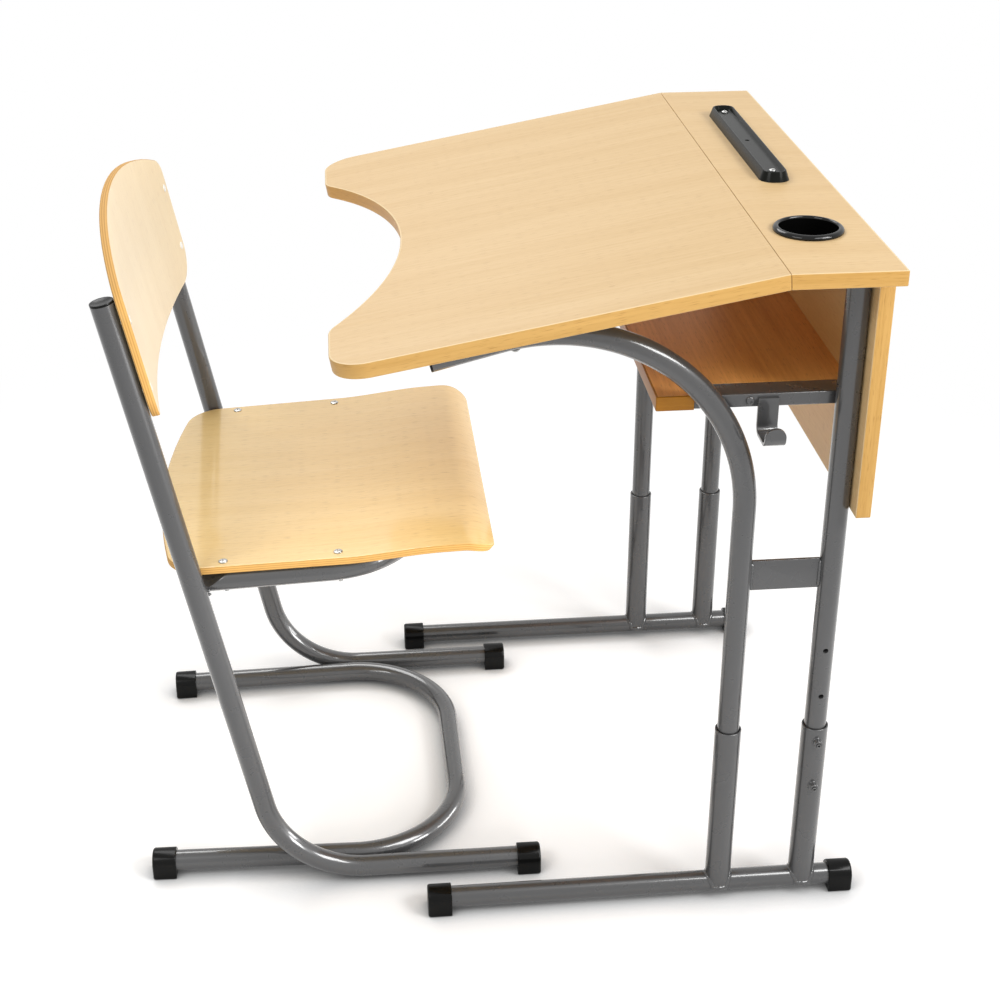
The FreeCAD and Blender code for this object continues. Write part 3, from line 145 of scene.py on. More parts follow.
def uneven_group():
    """Slight unevenness of a sprayed or moulded skin: cloudy shade, patchy gloss and fine dimples."""
    group, given, out = new_group(
        "uneven_skin", {"Dimple Size": "Float", "Dimple Depth": "Float", "Gloss": "Float", "Colour": "Color"},
        {"Colour": "Color", "Roughness": "Float", "Normal": "Vector"})
    place = add_node(group, "TexCoord", {}).outputs["Object"]
    cloud = noise(group, place, scale=9.0, detail=4.0)
    shade = ranged(group, cloud, from_min=0.3, from_max=0.7, to_min=0.96, to_max=1.04)
    tint = add_node(group, "VectorMath", {0: given["Colour"], "Scale": shade}, operation="SCALE")
    swing = ranged(group, noise(group, place, scale=60.0, detail=3.0), to_min=0.9, to_max=1.1)
    dimples = noise(group, place, scale=given["Dimple Size"], detail=1.5)
    bump = add_node(group, "Bump", {"Strength": given["Dimple Depth"], "Distance": 0.001, "Height": dimples})
    for label, value in (("Colour", tint.outputs["Vector"]), ("Normal", bump.outputs["Normal"]),
                         ("Roughness", worked(group, "MULTIPLY", swing, given["Gloss"]))):
        group.links.new(value, out[label])
    return group


uneven_skin = uneven_group()


def skin_finish(name, colour, gloss, dimples, depth, **constants):
    """A paint, plastic or plated finish: one colour under the uneven skin."""
    material, tree, shader = new_finish(name, **constants)
    given = {"Colour": (*colour, 1), "Gloss": gloss, "Dimple Size": dimples, "Dimple Depth": depth}
    made = add_node(tree, "Group", given, node_tree=uneven_skin).outputs
    for label, socket in (("Colour", "Base Color"), ("Roughness", "Roughness"), ("Normal", "Normal")):
        tree.links.new(made[label], shader.inputs[socket])
    return material


frame_paint = skin_finish("frame_paint", (0.049, 0.049, 0.05), gloss=0.28, dimples=420.0, depth=0.0012,
                          coat_weight=0.8, coat_roughness=0.045)


def quads_over(index):
    """A quad between each four neighbours in a grid of point numbers."""
    return np.stack([index[:-1, :-1], index[:-1, 1:], index[1:, 1:], index[1:, :-1]], -1).reshape(-1, 4)


def skin(points, wrap_rows=False):
    """Faces over a grid of points whose rows are rings: quads between neighbours and one flat face over each
    open end, all turned outwards by the sign of the volume that they enclose."""
    rows, columns = points.shape[:2]
    index = np.arange(rows * columns).reshape(rows, columns)
    ends = [] if wrap_rows else [index[0][::-1], index[-1]]
    if wrap_rows:
        index = np.vstack([index, index[:1]])
    quads = quads_over(np.hstack([index, index[:, :1]]))
    spots = points.reshape(-1, 3)
    middle = spots.mean(0)
    fans = [spots[quads[:, [0, 1, 2]]] - middle, spots[quads[:, [0, 2, 3]]] - middle]
    for end in ends:
        first = np.broadcast_to(spots[end[0]], (len(end) - 2, 3))
        fans.append(np.stack([first, spots[end[1:-1]], spots[end[2:]]], 1) - middle)
    volume = sum((np.cross(fan[:, 0], fan[:, 1]) * fan[:, 2]).sum() for fan in fans)
    if volume < 0:
        quads = quads[:, ::-1]
        ends = [end[::-1] for end in ends]
    return spots, quads, ends


def make_piece(name, skins, material, body, slot, nodes, sharp=35.0, runs=None):
    """One object at the origin from one or more skins, smooth but for its sharp edges. It rides on a body and
    stands for CAD nodes. Runs, where given, are each point's place along the grain, across it and deep."""
    starts = np.cumsum([0] + [len(spots) for spots, _, _ in skins])
    spots = np.vstack([spots for spots, _, _ in skins])
    quads = np.vstack([quads + start for (_, quads, _), start in zip(skins, starts)])
    flats = [(end + start).tolist() for (_, _, ends), start in zip(skins, starts) for end in ends]
    mesh = bpy.data.meshes.new(name)
    mesh.from_pydata(spots.tolist(), [], quads.tolist() + flats)
    mesh.polygons.foreach_set("use_smooth", np.ones(len(mesh.polygons), bool))
    mesh.set_sharp_from_angle(angle=math.radians(sharp))
    if runs is not None:
        grain = mesh.attributes.new("grain_run", "FLOAT_VECTOR", "POINT")
        grain.data.foreach_set("vector", runs.reshape(-1).astype(np.float32))
    mesh.materials.append(material)
    piece = bpy.data.objects.new(name, mesh)
    bpy.context.scene.collection.objects.link(piece)
    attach(piece, body)
    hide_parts(*nodes)
    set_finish(piece, slot)


def painted(name, skins, body, *nodes):
    """A piece of the sprayed frame."""
    make_piece(name, skins, frame_paint, body, "frame_paint", nodes)


def bent_path(corners, radius, steps):
    """Straight runs joined by tangent arcs: an arc's points are its centre, less the radius times the cosine
    towards the corner, plus the radius times the sine along the way past it."""
    corners = np.asarray(corners, float)
    runs = np.diff(corners, axis=0)
    ways = runs / np.linalg.norm(runs, axis=1, keepdims=True)
    parts = [corners[:1]]
    for corner, way_in, way_out in zip(corners[1:-1], ways, ways[1:]):
        half_turn = math.acos(np.clip(way_in @ way_out, -1, 1)) / 2
        inwards = (way_out - way_in) / np.linalg.norm(way_out - way_in)
        onwards = (way_out + way_in) / np.linalg.norm(way_out + way_in)
        turn = np.linspace(-half_turn, half_turn, steps + 1)[:, None]
        centre = corner + inwards * radius / math.cos(half_turn)
        parts.append(centre - inwards * radius * np.cos(turn) + onwards * radius * np.sin(turn))
    return np.vstack(parts + [corners[-1:]])


def ways_along(points, closed=False):
    """Unit directions along a line of points, each the mean of the two runs that meet there."""
    runs = np.diff(np.vstack([points, points[:1]]) if closed else points, axis=0)
    ways = runs / np.linalg.norm(runs, axis=1, keepdims=True)
    before = np.roll(ways, 1, axis=0) if closed else np.vstack([ways[:1], ways])
    after = ways if closed else np.vstack([ways, ways[-1:]])
    return (before + after) / np.linalg.norm(before + after, axis=1, keepdims=True)


def headings(turn):
    """Flat unit directions at angles: cosine and sine."""
    return np.stack([np.cos(turn), np.sin(turn)], -1)


def ring(radius, count=48):
    """A circle of points as a flat section."""
    return radius * headings(np.arange(count) * 2 * math.pi / count)


def swept(path, square, section):
    """A section carried along a flat path: the path's point, plus the section's first number along the square
    of the path's plane and its second along the square crossed with the way ahead."""
    across = np.asarray(square, float)
    up = np.cross(ways_along(path), across)[:, None]
    return path[:, None] + section[..., :1] * across + section[..., 1:] * up


def tube_along(path, square, count=64):
    """A round frame tube along a flat path."""
    return skin(swept(path, square, ring(tube_radius, count)))


for name, _ in sides:
    low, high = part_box(f"foot_rail_{name}")
    middle = (low + high) / 2
    axis = np.array([(low.x, middle.y, middle.z), (high.x, middle.y, middle.z)])
    rail = tube_along(axis, (0, 1, 0), count=48)
    painted(f"foot_rail_{name}_tube", [rail], "desk_base", f"foot_rail_{name}")

# Leg sleeves
# Four short lengths of wider tube that stand on the foot rails and guide the legs. Each is notched to sit
# astride its rail, welded all round, and its mouth is dressed with a file.

sleeve_radius = 0.015
sleeve_bore = 0.013
sleeve_lip = 0.0009
weld_size = 0.0036
weld_pitch = 0.0042
weld_swell = 0.07
weld_tip = 0.25
weld_sunk = 0.42
seam_points = 160
upwards = np.array([0, 0, 1.0])


def raised(flat, height):
    """Flat points with a height as their third number."""
    return np.concatenate([flat, np.broadcast_to(height, (*flat.shape[:-1], 1))], -1)


def turned(profile, count=48):
    """A surface turned about Z: the profile's radius times cosine and sine, at the profile's height."""
    profile = np.asarray(profile, float)[:, None]
    return raised(profile[..., :1] * ring(1.0, count), profile[..., 1:])


def saddle(points, axis):
    """The height at which points stand on a lying tube: its axis, plus the root of the radius squared less
    the side coordinate squared."""
    return axis + np.sqrt(np.clip(tube_radius ** 2 - points[..., 1] ** 2, 0, None))


def lengths(line):
    """How far along a line of points each of them lies."""
    return np.cumsum(np.linalg.norm(np.diff(line, axis=0, prepend=line[:1]), axis=1))


def bead(line, aside, size=weld_size, closed=False):
    """A weld bead: a ring round each point of a line, square to it, whose radius swells once per pitch."""
    ways = ways_along(line, closed)
    across = np.cross(ways, aside)
    across /= np.linalg.norm(across, axis=1, keepdims=True)
    up = np.cross(ways, across)
    length = lengths(line)
    swell = size * (1 - weld_swell + weld_swell * np.abs(np.sin(math.pi * length / weld_pitch)))
    if not closed:
        swell *= np.clip(np.minimum(length, length[-1] - length) / size, weld_tip, 1)
    section = ring(1.0, count=12)
    around = section[:, :1] * across[:, None] + section[:, 1:] * up[:, None]
    return skin(line[:, None] + swell[:, None, None] * around, wrap_rows=closed)


for name, _ in sides:
    rail_low, rail_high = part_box(f"foot_rail_{name}")
    rail_axis = (rail_low.z + rail_high.z) / 2
    for which in ("front", "rear"):
        sleeve = f"{which}_sleeve_{name}"
        low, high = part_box(sleeve)
        spot = np.array([(low.x + high.x) / 2, (low.y + high.y) / 2, 0])
        wall = bent_path([(sleeve_radius, rail_axis), (sleeve_radius, high.z), (sleeve_bore, high.z),
                          (sleeve_bore, rail_axis)], sleeve_lip, steps=6)
        tube = turned(wall)
        tube[..., 2] = np.maximum(tube[..., 2], saddle(tube, rail_axis))
        outwards = raised(ring(1.0, seam_points), 0)
        seam = sleeve_radius * outwards
        seam[:, 2] = saddle(seam, rail_axis)
        seam = seam - weld_sunk * weld_size * (outwards + upwards) + spot
        painted(f"{sleeve}_tube", [skin(tube + spot, wrap_rows=True)], "desk_base", sleeve)
        painted(f"{sleeve}_weld", [bead(seam, outwards, closed=True)], "desk_base")

# Foot caps
# Eight black plastic caps pushed over the tube ends of desk and chair. They are moulded with a flat sole,
# a half-round top and a softly rounded closed end.

black_plastic = skin_finish("black_plastic", (0.003, 0.003, 0.0028), gloss=0.24, dimples=900.0, depth=0.02,
                            specular_ior_level=0.15)
cap_wide = 0.016
cap_long = 0.028
cap_sole_round = 0.002
cap_end_round = 0.003
cap_end_flat = 0.0005
cap_lip_round = 0.0008
cap_bore_deep = 0.008


def outline(arcs, steps=12):
    """A line of points over arcs given as centre, radius, first and last angle in degrees, with straight runs
    between them. With each point comes its outward direction, which a negative radius turns inwards."""
    points, outward = [], []
    for x, y, radius, first, last in arcs:
        count = 1 if first == last else max(2, round(steps * abs(last - first) / 90) + 1)
        way = headings(np.radians(np.linspace(first, last, count)))
        points.append(np.array([x, y]) + abs(radius) * way)
        outward.append(np.sign(radius) * way)
    return np.vstack(points), np.vstack(outward)


def foot_cap(node, body, start, way):
    """Rows of the cap's D-shaped outline, drawn in by an inset and moved along the tube, from the closed end
    over its rounding to the open lip and back into the bore."""
    axis_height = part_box(node)[1].z - cap_wide
    sole = cap_wide - cap_sole_round
    line, outward = outline([(0, axis_height, cap_wide, 0, 180),
                             (-sole, cap_sole_round, cap_sole_round, 180, 270),
                             (sole, cap_sole_round, cap_sole_round, 270, 360)])
    centre = np.array([0, axis_height])
    bore = centre + tube_radius * headings(np.arctan2(*(line - centre).T[::-1]))
    closed = bent_path([(cap_end_round + cap_end_flat, 0), (0, 0), (0, cap_long - cap_lip_round)],
                       cap_end_round, steps=10)
    lip = bent_path([(0, cap_long - 2 * cap_lip_round), (0, cap_long), (2 * cap_lip_round, cap_long)],
                    cap_lip_round, steps=5)
    rows = np.vstack([closed, lip[1:]])
    section = np.concatenate([line - rows[:, None, :1] * outward, [bore, bore]])
    along = np.concatenate([rows[:, 1], [cap_long, cap_long - cap_bore_deep]])
    way = np.array([*way, 0.0])
    points = np.array([*start, 0.0]) + along[:, None, None] * way
    points = points + section[..., :1] * np.cross(upwards, way) + section[..., 1:] * upwards
    make_piece(f"{node}_moulding", [skin(points)], black_plastic, body, "black_plastic", [node])


for name, _ in sides:
    low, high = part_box(f"desk_front_cap_{name}")
    foot_cap(f"desk_front_cap_{name}", "desk_base", (low.x, (low.y + high.y) / 2), (1, 0))
    low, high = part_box(f"desk_rear_cap_{name}")
    foot_cap(f"desk_rear_cap_{name}", "desk_base", (high.x, (low.y + high.y) / 2), (-1, 0))

# Lock bosses and lock screws
# Round nuts welded over holes in the rear sleeves, two on each side, with socket screws in them that hold the
# leg at its height. The bosses are painted with the frame, the screws are dull dark steel.

lock_steel = skin_finish("lock_steel", (0.19, 0.19, 0.19), gloss=0.42, dimples=1500.0, depth=0.05,
                         metallic=1.0)
boss_round = 0.0008
boss_weld = 0.3 * weld_size
boss_weld_points = 90
socket_deep = 0.003
socket_share = 0.6


def seated(points, place, way):
    """Points drawn about +Z, turned so that +Z runs along a way, and moved to a place."""
    turn = np.array(Vector((0, 0, 1)).rotation_difference(Vector(way)).to_matrix())
    return points @ turn.T + np.asarray(place, float)


boss_low, boss_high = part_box("lock_bosses")
screw_low, screw_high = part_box("lock_screws")
boss_radius = (boss_high.x - boss_low.x) / 2
screw_radius = (screw_high.x - screw_low.x) / 2
socket_radius = screw_radius * socket_share
outwards = raised(ring(1.0, boss_weld_points), 0)
foot = boss_radius * outwards
foot[:, 2] = np.sqrt(sleeve_radius ** 2 - foot[:, 0] ** 2)
bosses, boss_welds, lock_screws = [], [], []
for name, side in sides:
    sleeve_low, sleeve_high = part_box(f"rear_sleeve_{name}")
    axis_y = (sleeve_low.y + sleeve_high.y) / 2
    boss_long = boss_high.y - abs(axis_y)
    screw_long = screw_high.y - abs(axis_y)
    way = (0, side, 0)
    for height in (boss_low.z + boss_radius, boss_high.z - boss_radius):
        place = ((boss_low.x + boss_high.x) / 2, axis_y, height)
        barrel = bent_path([(boss_radius, sleeve_bore), (boss_radius, boss_long), (screw_radius, boss_long),
                            (screw_radius, sleeve_bore)], boss_round, steps=5)
        bosses.append(skin(seated(turned(barrel), place, way), wrap_rows=True))
        pin = bent_path([(screw_radius, sleeve_bore), (screw_radius, screw_long), (socket_radius, screw_long),
                         (socket_radius, screw_long - socket_deep)], boss_round / 2, steps=4)
        lock_screws.append(skin(seated(turned(pin, count=24), place, way)))
        spots, quads, ends = bead(foot, outwards, boss_weld, closed=True)
        boss_welds.append((seated(spots, place, way), quads, ends))
painted("lock_boss_nuts", bosses, "desk_base", "lock_bosses")
painted("lock_boss_welds", boss_welds, "desk_base")
make_piece("lock_socket_screws", lock_screws, lock_steel, "desk_base", "zinc_steel", ["lock_screws"])

# Arms
# The front legs: one tube on each side that slides in the front sleeve, rises, and is bent forward over a
# large former to run up under the worktop. Its open tip is closed by a dished plastic plug.

arm_bend = 0.208
arm_turn = math.radians(104.4)
arm_straight = 0.070
plug_head = 0.0025
plug_dish = 0.0016
plug_lip = 0.001
plug_round = 0.0003
plug_stem = 0.8 * tube_radius
plug_long = 0.004
plug_centre = 0.0004


def tube_plug(place, way):
    """A plug's head: up the side, over a rounded lip, and down into a shallow dish, whose depth falls off
    with the square of the distance from its middle."""
    mouth = tube_radius - plug_lip
    rim = bent_path([(plug_stem, -plug_long), (plug_stem, 0), (tube_radius, 0), (tube_radius, plug_head),
                     (mouth, plug_head)], plug_round, steps=4)
    inside = np.linspace(mouth, plug_centre, 10)
    dish = np.stack([inside, plug_head - plug_dish * (1 - (inside / mouth) ** 2)], -1)
    return skin(seated(turned(np.vstack([rim, dish[1:]])), place, way))


arm_tips = []
for name, _ in sides:
    low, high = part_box(f"arm_{name}")
    x, y = high.x - tube_radius, (low.y + high.y) / 2
    arc_height = high.z - tube_radius - arm_bend
    corner = np.array([x, y, arc_height + arm_bend * math.tan(arm_turn / 2)])
    tip_way = np.array([-math.sin(arm_turn), 0, math.cos(arm_turn)])
    tip = corner + tip_way * (arm_bend * math.tan(arm_turn / 2) + arm_straight)
    line = bent_path([(x, y, low.z), corner, tip], arm_bend, steps=72)
    painted(f"arm_{name}_tube", [tube_along(line, (0, 1, 0))], "desk_top", f"arm_{name}")
    arm_tips.append(tube_plug(tip, tip_way))
make_piece("arm_tip_plugs", arm_tips, black_plastic, "desk_top", "black_plastic", ["arm_plugs"])

# Rear legs
# Straight tubes that slide in the rear sleeves, with index holes on their outer sides, one for each height.
# A small plate welded on top is screwed up into the rear strip.

index_radius = 0.00275
index_pitch = 0.060
index_deep = 0.009
hole_ease = 0.0006
hole_flare = 1.12
window_cells = 6


def drilled_tube(low, high, out, heights, count=48):
    """An upright tube whose grid leaves a square window at each hole. From the window's edge a ring of quads
    closes in to the hole's circle, drawn on the tube's face, and on down into the tube."""
    centre = np.array([(low.x + high.x) / 2, (low.y + high.y) / 2])
    half = window_cells // 2
    reach = tube_radius * 2 * math.pi / count * half
    stations = [np.linspace(height - reach, height + reach, window_cells + 1) for height in heights]
    rows = np.concatenate([[low.z], *stations, [high.z]])
    columns = centre + tube_radius * headings(np.arange(count) * 2 * math.pi / count + out)
    spots, quads, ends = skin(raised(np.broadcast_to(columns, (len(rows), count, 2)), rows[:, None, None]))
    level, spoke = np.divmod(quads.min(1), count)
    middle = (np.arange(window_cells) - half) % count
    beside = np.isin(spoke, middle[middle != count - 1]) | (quads.max(1) - quads.min(1) == 2 * count - 1)
    keep = np.ones(len(quads), bool)
    grid = np.arange(len(spots)).reshape(-1, count)
    out_way, side_way = headings(np.array([out, out + math.pi / 2]))
    flare = np.array([hole_flare, 1.0, 1.0])[:, None]
    fresh_spots, fresh_quads = spots, []
    for number, height in enumerate(heights):
        first = 1 + number * (window_cells + 1)
        keep &= ~((level >= first) & (level < first + window_cells) & beside)
        block = grid[first:first + window_cells + 1][:, (np.arange(window_cells + 1) - half) % count]
        loop = np.concatenate([block[0, :-1], block[:-1, -1], block[-1, :0:-1], block[:0:-1, 0]])
        swing = np.arctan2(spots[loop, 1] - centre[1], spots[loop, 0] - centre[0]) - out
        swing = (swing + math.pi) % (2 * math.pi) - math.pi
        angle = np.arctan2(spots[loop, 2] - height, swing * tube_radius)
        edge_side, edge_rise = index_radius * headings(angle).T
        face = np.sqrt(tube_radius ** 2 - edge_side ** 2)
        depths = np.stack([face, face - hole_ease, face - index_deep])
        flat = centre + depths[..., None] * out_way + (flare * edge_side)[..., None] * side_way
        rings = raised(flat, (height + flare * edge_rise)[..., None])
        index = np.vstack([loop, len(fresh_spots) + np.arange(depths.size).reshape(depths.shape)])
        fresh_quads.append(quads_over(np.hstack([index, index[:, :1]])))
        ends.append(index[-1])
        fresh_spots = np.vstack([fresh_spots, rings.reshape(-1, 3)])
    return fresh_spots, np.vstack([quads[keep], *fresh_quads]), ends


for name, side in sides:
    low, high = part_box(f"rear_leg_{name}")
    first_hole = (boss_high.z - boss_radius) + index_pitch
    leg = drilled_tube(low, high, side * math.pi / 2, [first_hole, first_hole + index_pitch])
    painted(f"rear_leg_{name}_tube", [leg], "desk_top", f"rear_leg_{name}")


def dress(material, slot, *nodes):
    """CAD nodes that are shown as they are, under a finish."""
    for node in nodes:
        shown = frame["nodes"][node]
        shown.data.materials.clear()
        shown.data.materials.append(material)
        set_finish(shown, slot)


dress(frame_paint, "frame_paint", "leg_plate_right", "leg_plate_left")

# Brace plates
# A short flat steel bar on each side, welded on edge between the front and the rear leg. The welds run down
# both faces at each end.

plate_ease = 0.0006
plate_weld = 0.6 * weld_size
plate_weld_inset = 0.002


def eased_rows(thick, ease, steps=4):
    """Inset and height over a sheet's edge: a quarter round at each face and a straight run between them."""
    foot = ease * (1 - headings(np.linspace(0, math.pi / 2, steps + 1))[:, ::-1])
    return np.vstack([foot, np.stack([foot[::-1, 0], thick - foot[::-1, 1]], -1)])


def plate_points(line, outward, rows, origin, axes):
    """A flat outline drawn in by each row's inset along its outward direction, at the row's height."""
    points = raised(line - rows[:, None, :1] * outward, rows[:, None, 1:])
    return np.asarray(origin, float) + points @ np.asarray(axes, float)


def box_outline(low_u, low_v, high_u, high_v, corner, steps=6):
    """A rectangle with round corners, as an outline."""
    inner_u, inner_v = high_u - corner, high_v - corner
    outer_u, outer_v = low_u + corner, low_v + corner
    return outline([(inner_u, inner_v, corner, 0, 90), (outer_u, inner_v, corner, 90, 180),
                    (outer_u, outer_v, corner, 180, 270), (inner_u, outer_v, corner, 270, 360)], steps)


for name, _ in sides:
    low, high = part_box(f"brace_plate_{name}")
    line, outward = box_outline(low.x, low.z, high.x, high.z, plate_ease)
    axes = [(1, 0, 0), (0, 0, 1), (0, 1, 0)]
    bar = plate_points(line, outward, eased_rows(high.y - low.y, plate_ease), (0, low.y, 0), axes)
    painted(f"brace_plate_{name}_bar", [skin(bar)], "desk_top", f"brace_plate_{name}")
    welds = []
    for x, y in ((low.x, low.y), (low.x, high.y), (high.x, low.y), (high.x, high.y)):
        run = np.linspace((x, y, low.z + plate_weld_inset), (x, y, high.z - plate_weld_inset), 90)
        welds.append(bead(run, (1, 0, 0), plate_weld))
    painted(f"brace_plate_{name}_welds", welds, "desk_top")

# Shelf rails and bag hook
# Flat rectangular tubes welded to the inner sides of the legs, with a plastic plug in each front end. The
# right one carries a bag hook, a strip of steel bent up into a tab with a rounded end.

rail_corner = 0.002
rail_wall = 0.0015
rail_mouth = 0.006
rail_weld = 0.5 * weld_size
rail_weld_half = 0.008
hook_bend = 0.009
hook_thick = 0.004
hook_tab = 0.020
hook_tip = 0.010

for name, side in sides:
    low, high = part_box(f"shelf_rail_{name}")
    line, outward = box_outline(low.y, low.z, high.y, high.z, rail_corner)
    rows = bent_path([(0, high.x), (0, low.x), (rail_wall, low.x), (rail_wall, low.x + rail_mouth)],
                     plate_ease / 2, steps=4)
    rail = plate_points(line, outward, rows, (0, 0, 0), [(0, 1, 0), (0, 0, 1), (1, 0, 0)])
    painted(f"shelf_rail_{name}_tube", [skin(rail)], "desk_top", f"shelf_rail_{name}")
    y = high.y if side > 0 else low.y
    bend_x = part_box(f"arm_{name}")[1].x - tube_radius - arm_bend
    leg_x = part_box(f"rear_leg_{name}")[1].x - tube_radius
    welds = []
    for z in (low.z, high.z):
        for x in (bend_x + math.sqrt(arm_bend ** 2 - (z - arc_height) ** 2), leg_x):
            run = np.linspace((x - rail_weld_half, y, z), (x + rail_weld_half, y, z), 60)
            welds.append(bead(run, upwards, rail_weld))
    painted(f"shelf_rail_{name}_welds", welds, "desk_top")
dress(black_plastic, "black_plastic", "shelf_rail_plugs")

low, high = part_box("bag_hook")
half_wide, half_thick = (high.x - low.x) / 2, hook_thick / 2
middle_x = (low.x + high.x) / 2
inner, outer, bottom = high.y - half_thick, low.y + half_thick, low.z + half_thick
tip_start = np.array([middle_x, outer, bottom + hook_tab - hook_tip])
spine = bent_path([(middle_x, inner, high.z), (middle_x, inner, bottom), (middle_x, outer, bottom),
                   tip_start], hook_bend, steps=24)
closing, rising = hook_tip * headings(np.linspace(0, math.pi / 2, 17)[1:]).T
narrow = np.concatenate([np.zeros(len(spine)), hook_tip - closing])
line, _ = box_outline(-half_wide, -half_thick, half_wide, half_thick, plate_ease)
section = np.broadcast_to(line, (len(narrow), *line.shape)).copy()
section[..., 0] -= np.sign(section[..., 0]) * np.minimum(narrow[:, None], np.abs(section[..., 0]))
hook = swept(np.vstack([spine, tip_start + rising[:, None] * upwards]), (1, 0, 0), section)
painted("bag_hook_strip", [skin(hook)], "desk_top", "bag_hook")

# Boards and their edge bands
# Worktop, rear strip, front panel and shelf are chipboard with a beech-pattern laminate on both faces. Their
# sawn edges are closed by 2 mm plastic bands in the same tone, glued on and eased with a cutter. The shelf's
# laminate and band are drawn as deeper, darker copies: painted shade under the worktop. The other bands'
# eased corners are drawn paler: a painted highlight.

band_thick = 0.002
band_ease = 0.0011
slope = math.radians(10.4)
seam_gap = 0.0008
top_deep = 0.450
top_corner = 0.040
chest = 0.400
chest_deep = 0.085
chest_round = 0.032
cup_hole_radius = 0.0325
hole_step = 0.002
rail_gap = 0.0002
pore_share = 0.6
sanded = 0.75
ply_blend = 0.35
edge_starts, edge_full = 0.49, 0.44
# Depths into a band over which the painted highlight along its eased corners comes in.
highlight_starts, highlight_full = 0.0001, 0.0006


def grain_group():
    """Wood grain: broad bands, fine streaks and short pores, each a noise drawn out along the first axis."""
    group, given, out = new_group("wood_grain", {"Run": "Vector"},
                                  {"Bands": "Float", "Streaks": "Float", "Pores": "Float"})
    for label, stretch, detail, low, high in (("Bands", (1.8, 24, 24), 3.0, 0.36, 0.64),
                                              ("Streaks", (6, 260, 260), 2.0, 0.3, 0.7),
                                              ("Pores", (70, 1300, 1300), 0.0, 0.65, 0.8)):
        place = add_node(group, "VectorMath", {0: given["Run"], 1: stretch}, operation="MULTIPLY")
        cloud = noise(group, place.outputs["Vector"], scale=1.0, detail=detail)
        group.links.new(ranged(group, cloud, from_min=low, from_max=high), out[label])
    return group


wood_grain = grain_group()


def mixed(tree, share, first, second):
    """A colour between two, by a share. Each of the three is a value or another node's output."""
    first, second = [(*tone, 1) if isinstance(tone, tuple) else tone for tone in (first, second)]
    return add_node(tree, "Mix", {0: share, 6: first, 7: second}, data_type="RGBA").outputs[2]


def wood_finish(name, light, dark, pore, gloss, layers=None, eased_corner_highlight=None, **constants):
    """A wood face from each point's place along the grain. Layers, where given, are the sheet's thickness,
    the number of plies and the colours that show by turns in its edge. The eased-corner highlight, where
    given, is a paler colour laid along a band's eased corners: a painted highlight."""
    material, tree, shader = new_finish(name, roughness=gloss, **constants)
    run = add_node(tree, "Attribute", {}, attribute_name="grain_run").outputs["Vector"]
    grain = add_node(tree, "Group", {"Run": run}, node_tree=wood_grain).outputs
    share = worked(tree, "MULTIPLY", worked(tree, "ADD", grain["Bands"], grain["Streaks"]), 0.5)
    dots = worked(tree, "MULTIPLY", grain["Pores"], pore_share)
    colour = mixed(tree, dots, mixed(tree, share, light, dark), pore)
    if layers or eased_corner_highlight:
        depth = add_node(tree, "SeparateXYZ", {"Vector": run}).outputs["Z"]
    if layers:
        thick, plies, pale, deep = layers
        wave = worked(tree, "SINE", worked(tree, "MULTIPLY", depth, math.pi * plies / thick))
        by_turns = ranged(tree, wave, from_min=-ply_blend, from_max=ply_blend)
        edge = mixed(tree, dots, mixed(tree, by_turns, pale, deep), pore)
        off_middle = worked(tree, "ABSOLUTE", worked(tree, "SUBTRACT", depth, thick / 2))
        inside = ranged(tree, off_middle, from_min=thick * edge_starts, from_max=thick * edge_full)
        colour = mixed(tree, inside, colour, edge)
        tree.links.new(ranged(tree, inside, to_min=gloss, to_max=sanded), shader.inputs["Roughness"])
        tree.links.new(ranged(tree, inside, to_min=1.0, to_max=0.0), shader.inputs["Coat Weight"])
    # A paler colour along the band's eased corners, away from its outer face: a painted highlight.
    if eased_corner_highlight:
        highlight_share = ranged(tree, depth, from_min=highlight_starts, from_max=highlight_full)
        colour = mixed(tree, highlight_share, colour, eased_corner_highlight)
    bump = add_node(tree, "Bump", {"Strength": 0.05, "Distance": 0.0004, "Height": grain["Streaks"]})
    tree.links.new(colour, shader.inputs["Base Color"])
    tree.links.new(bump.outputs["Normal"], shader.inputs["Normal"])
    return material


laminate = wood_finish("board_laminate", light=(0.785, 0.56, 0.295), dark=(0.71, 0.48, 0.225),
                       pore=(0.54, 0.325, 0.14), gloss=0.44, specular_ior_level=0.35)
# The shelf's laminate and band are darker copies of the board laminate and band: painted shade under the
# worktop.
shaded_shelf_laminate = wood_finish("shaded_shelf_laminate", light=(0.84, 0.42, 0.125), dark=(0.6, 0.26, 0.06),
                             pore=(0.36, 0.14, 0.035), gloss=0.38)
# The band's eased corners are drawn paler: a painted highlight.
edge_band = wood_finish("board_edge", light=(0.64, 0.38, 0.12), dark=(0.5, 0.275, 0.07),
                        pore=(0.32, 0.15, 0.03), gloss=0.4, eased_corner_highlight=(0.86, 0.66, 0.38),
                        specular_ior_level=0.3)
shaded_shelf_band = wood_finish("shelf_edge", light=(0.37, 0.158, 0.016), dark=(0.3, 0.115, 0.01),
                         pore=(0.2, 0.07, 0.006), gloss=0.32, specular_ior_level=0.2)


def read_off(values, length, stations):
    """Rows of numbers along a line, read off between its points at given lengths."""
    return np.stack([np.interp(stations, length, column) for column in values.T], -1)


def divided(line, step):
    """The same closed outline with points added at each step along its length."""
    closed = np.vstack([line, line[:1]])
    length = lengths(closed)
    return read_off(closed, length, np.union1d(length[:-1], np.arange(0, length[-1], step)))


def mirrored(arcs, *between):
    """Arcs of one half of an outline, those between the halves, and the first half's mirror image."""
    image = [(x, -y, radius, 360 - last, 360 - first) for x, y, radius, first, last in reversed(arcs)]
    return [*arcs, *between, *image]


